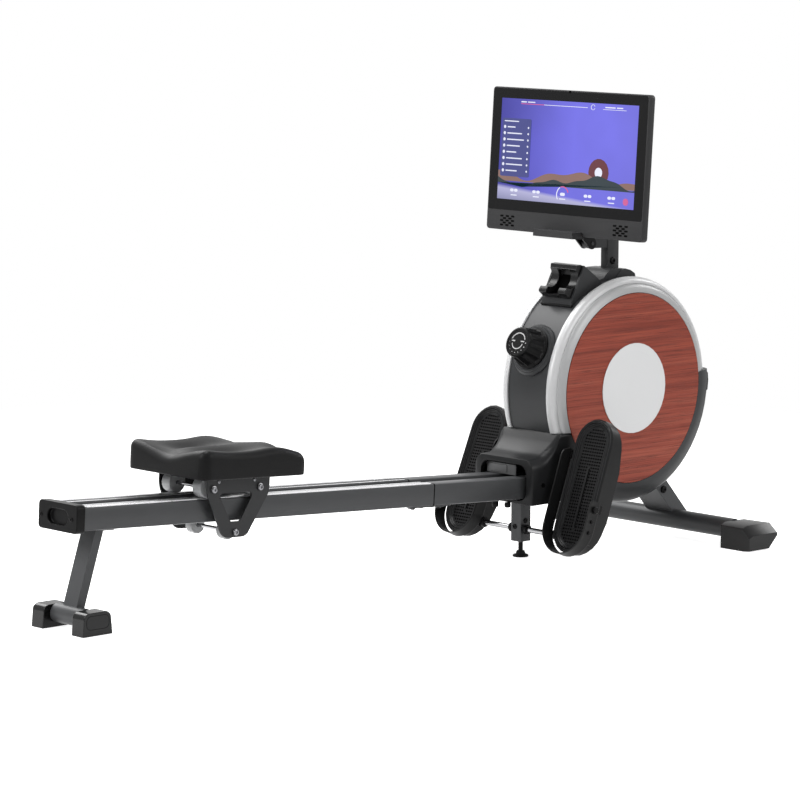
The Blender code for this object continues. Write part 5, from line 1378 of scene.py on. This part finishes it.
def make_screws():
    """The visible screw heads, each group standing on the piece that it holds."""
    cap = [((0.0, y, -0.001), REARWARD) for y in CAP_SCREWS_Y]
    leg = [(LEG_SCREW_REAR, REARWARD), (LEG_SCREW_SIDE, outward(-1))]
    splice = []
    for u in SPLICE_BOLTS_U:
        splice += [((u, side * SPLICE_BOLT_Y, SPLICE_UNDER), DOWNWARD) for _, side in SIDES]
    for name, size, spots, finish, node, place in (
        ("cap_screws", (0.0048, 0.0016, 0.0024), cap, "black", "rail_end_cap", RAILS),
        ("axle_bolts", (0.0064, 0.0030, 0.0030), mirrored(*AXLE_BOLTS), "iron", "seat_bracket", CARRIAGE),
        ("seat_screws", (0.0034, 0.0018, 0.0016), mirrored(*SEAT_SCREWS), "iron", "seat_bracket", CARRIAGE),
        ("neck_screws", (0.0052, 0.0018, 0.0024), mirrored(NECK_SCREW), "void", "neck_cover", WHOLE),
        ("leg_screws", (0.0060, 0.0026, 0.0028), leg, "black", "centre_leg", WHOLE),
        ("mast_bolts", (0.0080, 0.0048, 0.0034), mirrored(MAST_BOLT), "black", "mast", WHOLE),
        ("strut_bolts", (0.0085, 0.0055, 0.0036), mirrored(STRUT_BOLT), "black", "front_stand", WHOLE),
        ("splice_bolts", (0.0064, 0.0056, 0.0046), splice, "black", "splice_plate", RAILS),
    ):
        scatter(name, button_head(*size), spots, finish, node, place)


def make_rail_beads():
    """The rolled edges of the steel running strips, two fine bright lines along each rear rail."""
    outlines = []
    for _, side in SIDES:
        for place in TRACK_EDGES_Y:
            low, high = side * place - TRACK_EDGE_HALF_W, side * place + TRACK_EDGE_HALF_W
            points = [(low, TRACK_EDGE_LOW), (high, TRACK_EDGE_LOW)]
            points += [(high - 0.0006, TRACK_EDGE_TOP), (low + 0.0006, TRACK_EDGE_TOP)]
            outlines.append(points)
    bm = prisms(outlines, TRACK_START, TRACK_END)
    detail("rail_beads", bm, "track", "rear_rail_left", RAILS)


def make_joint_seams():
    """The dark seam round each rail where its two lengths meet."""
    outlines = []
    for _, side in SIDES:
        low, high = sorted((side * RAIL_INNER_Y, side * RAIL_OUTER_Y))
        outlines.append(rounded(low, high, -RAIL_SKIN, RAIL_SKIN, RAIL_CORNER))
    bm = prisms(outlines, JOINT_U - SEAM_BEFORE, JOINT_U + SEAM_AFTER)
    detail("joint_seams", bm, "void", "front_rail_left", RAILS)


def make_axle_collars():
    """The collars that keep the footplates in their places on the axle."""
    collars = []
    for _, side in SIDES:
        for inner in COLLARS_Y:
            outer = inner + COLLAR_W
            profile = [(AXLE_R, inner), (COLLAR_R - 0.0007, inner), (COLLAR_R, inner + 0.001)]
            profile += [(COLLAR_R, outer - 0.001), (COLLAR_R - 0.0007, outer), (AXLE_R, outer)]
            collars.append(turned_rings([(r, side * y) for r, y in profile], 24, "Y"))
    detail("axle_collars", lofts(*collars, closed=True), "black", "pedal_axle", AXLE)


def make_rear_caps():
    """The rear feet: upright walls, round shoulders and the outline of a panel in the outer end."""
    for name, side in SIDES:
        node = f"rear_foot_cap_{name}"
        centre, half = middle(node), half_size(node)
        place = Matrix.Translation(centre)
        x, z = half.x, half.z
        shoulder = x - CAP_LEAN - CAP_ROUND
        outline = [(-x, -z), (x, -z)] + arc(shoulder, z - CAP_ROUND, CAP_ROUND, 0, 90, 8)
        outline += arc(-shoulder, z - CAP_ROUND, CAP_ROUND, 90, 180, 8)
        bm = prisms([outline], -half.y, half.y, "Y")
        cap = detail(f"rear_fine_foot_cap_{name}", bm, "cap", node, place, 0.0016)
        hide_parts(node)
        wide, low, high = x - CAP_PANEL_SIDE, CAP_PANEL_LOW - z, z - CAP_PANEL_TOP
        outer = rounded(-wide, wide, low, high, CAP_PANEL_CORNER)
        wide, low, high = wide - CAP_LINE_W, low + CAP_LINE_W, high - CAP_LINE_W
        inner = rounded(-wide, wide, low, high, CAP_PANEL_CORNER - CAP_LINE_W)
        sunk, proud = side * (half.y - 0.0004), side * (half.y + 0.0002)
        rings = []
        for loop, end in ((outer, sunk), (outer, proud), (inner, proud), (inner, sunk)):
            rings.append([(a, end, b) for a, b in loop])
        detail(f"rear_cap_line_{name}", lofts(rings, closed=True), "void", node, place)


def make_mouth_fittings():
    """The cast bracket that stands inside the mouth of the neck, and two round knobs under its floor."""
    bracket = bmesh.new()
    add_prism(bracket, rounded(*MOUTH_BRACKET, MOUTH_CORNER), MOUTH_X, MOUTH_X + 0.0045)
    add_prism(bracket, rounded(*MOUTH_PANEL, MOUTH_CORNER), MOUTH_X - 0.0015, MOUTH_X + 0.0005)
    detail("mouth_bracket", bracket, "grey", "neck_cover", WHOLE, 0.0006)
    profile = [(0.0062, 0.0), (0.0070, -0.003), (0.0070, -0.008), (0.0055, -0.0105)]
    turned = turned_rings(profile, 20, "Z")
    knobs = lofts(*([moved(ring, x, y, FLOOR_KNOB_Z) for ring in turned] for x, y in FLOOR_KNOBS))
    detail("neck_floor_knobs", knobs, "black", "neck_cover", WHOLE)


def dress_hidden():
    """Better finishes on the pieces inside the covers, which keep the frame's own shapes."""
    finishes = {name: "iron" for name in ("flywheel", "magnet_bracket", "recoil_spring_drum")}
    finishes |= {"flywheel_axle": "steel", "drive_pulley": "black", "wound_strap": "webbing"}
    finishes |= {"main_frame": "frame", "drive_belt": "rubber", "tension_cable": "rubber"}
    for node, finish in finishes.items():
        for slot in frame["nodes"][node].material_slots:
            slot.material = FINISH[finish]


make_studio()
refine_all()
make_shells()
make_rims()
make_dock_trim()
make_cushion()
make_picture()
make_screen_fittings()
make_knob()
make_pedal_detail()
make_screws()
make_joint_seams()
make_axle_collars()
make_rear_caps()
make_mouth_fittings()
make_rail_beads()
dress_hidden()

bpy.context.scene.view_settings.view_transform = "Standard"
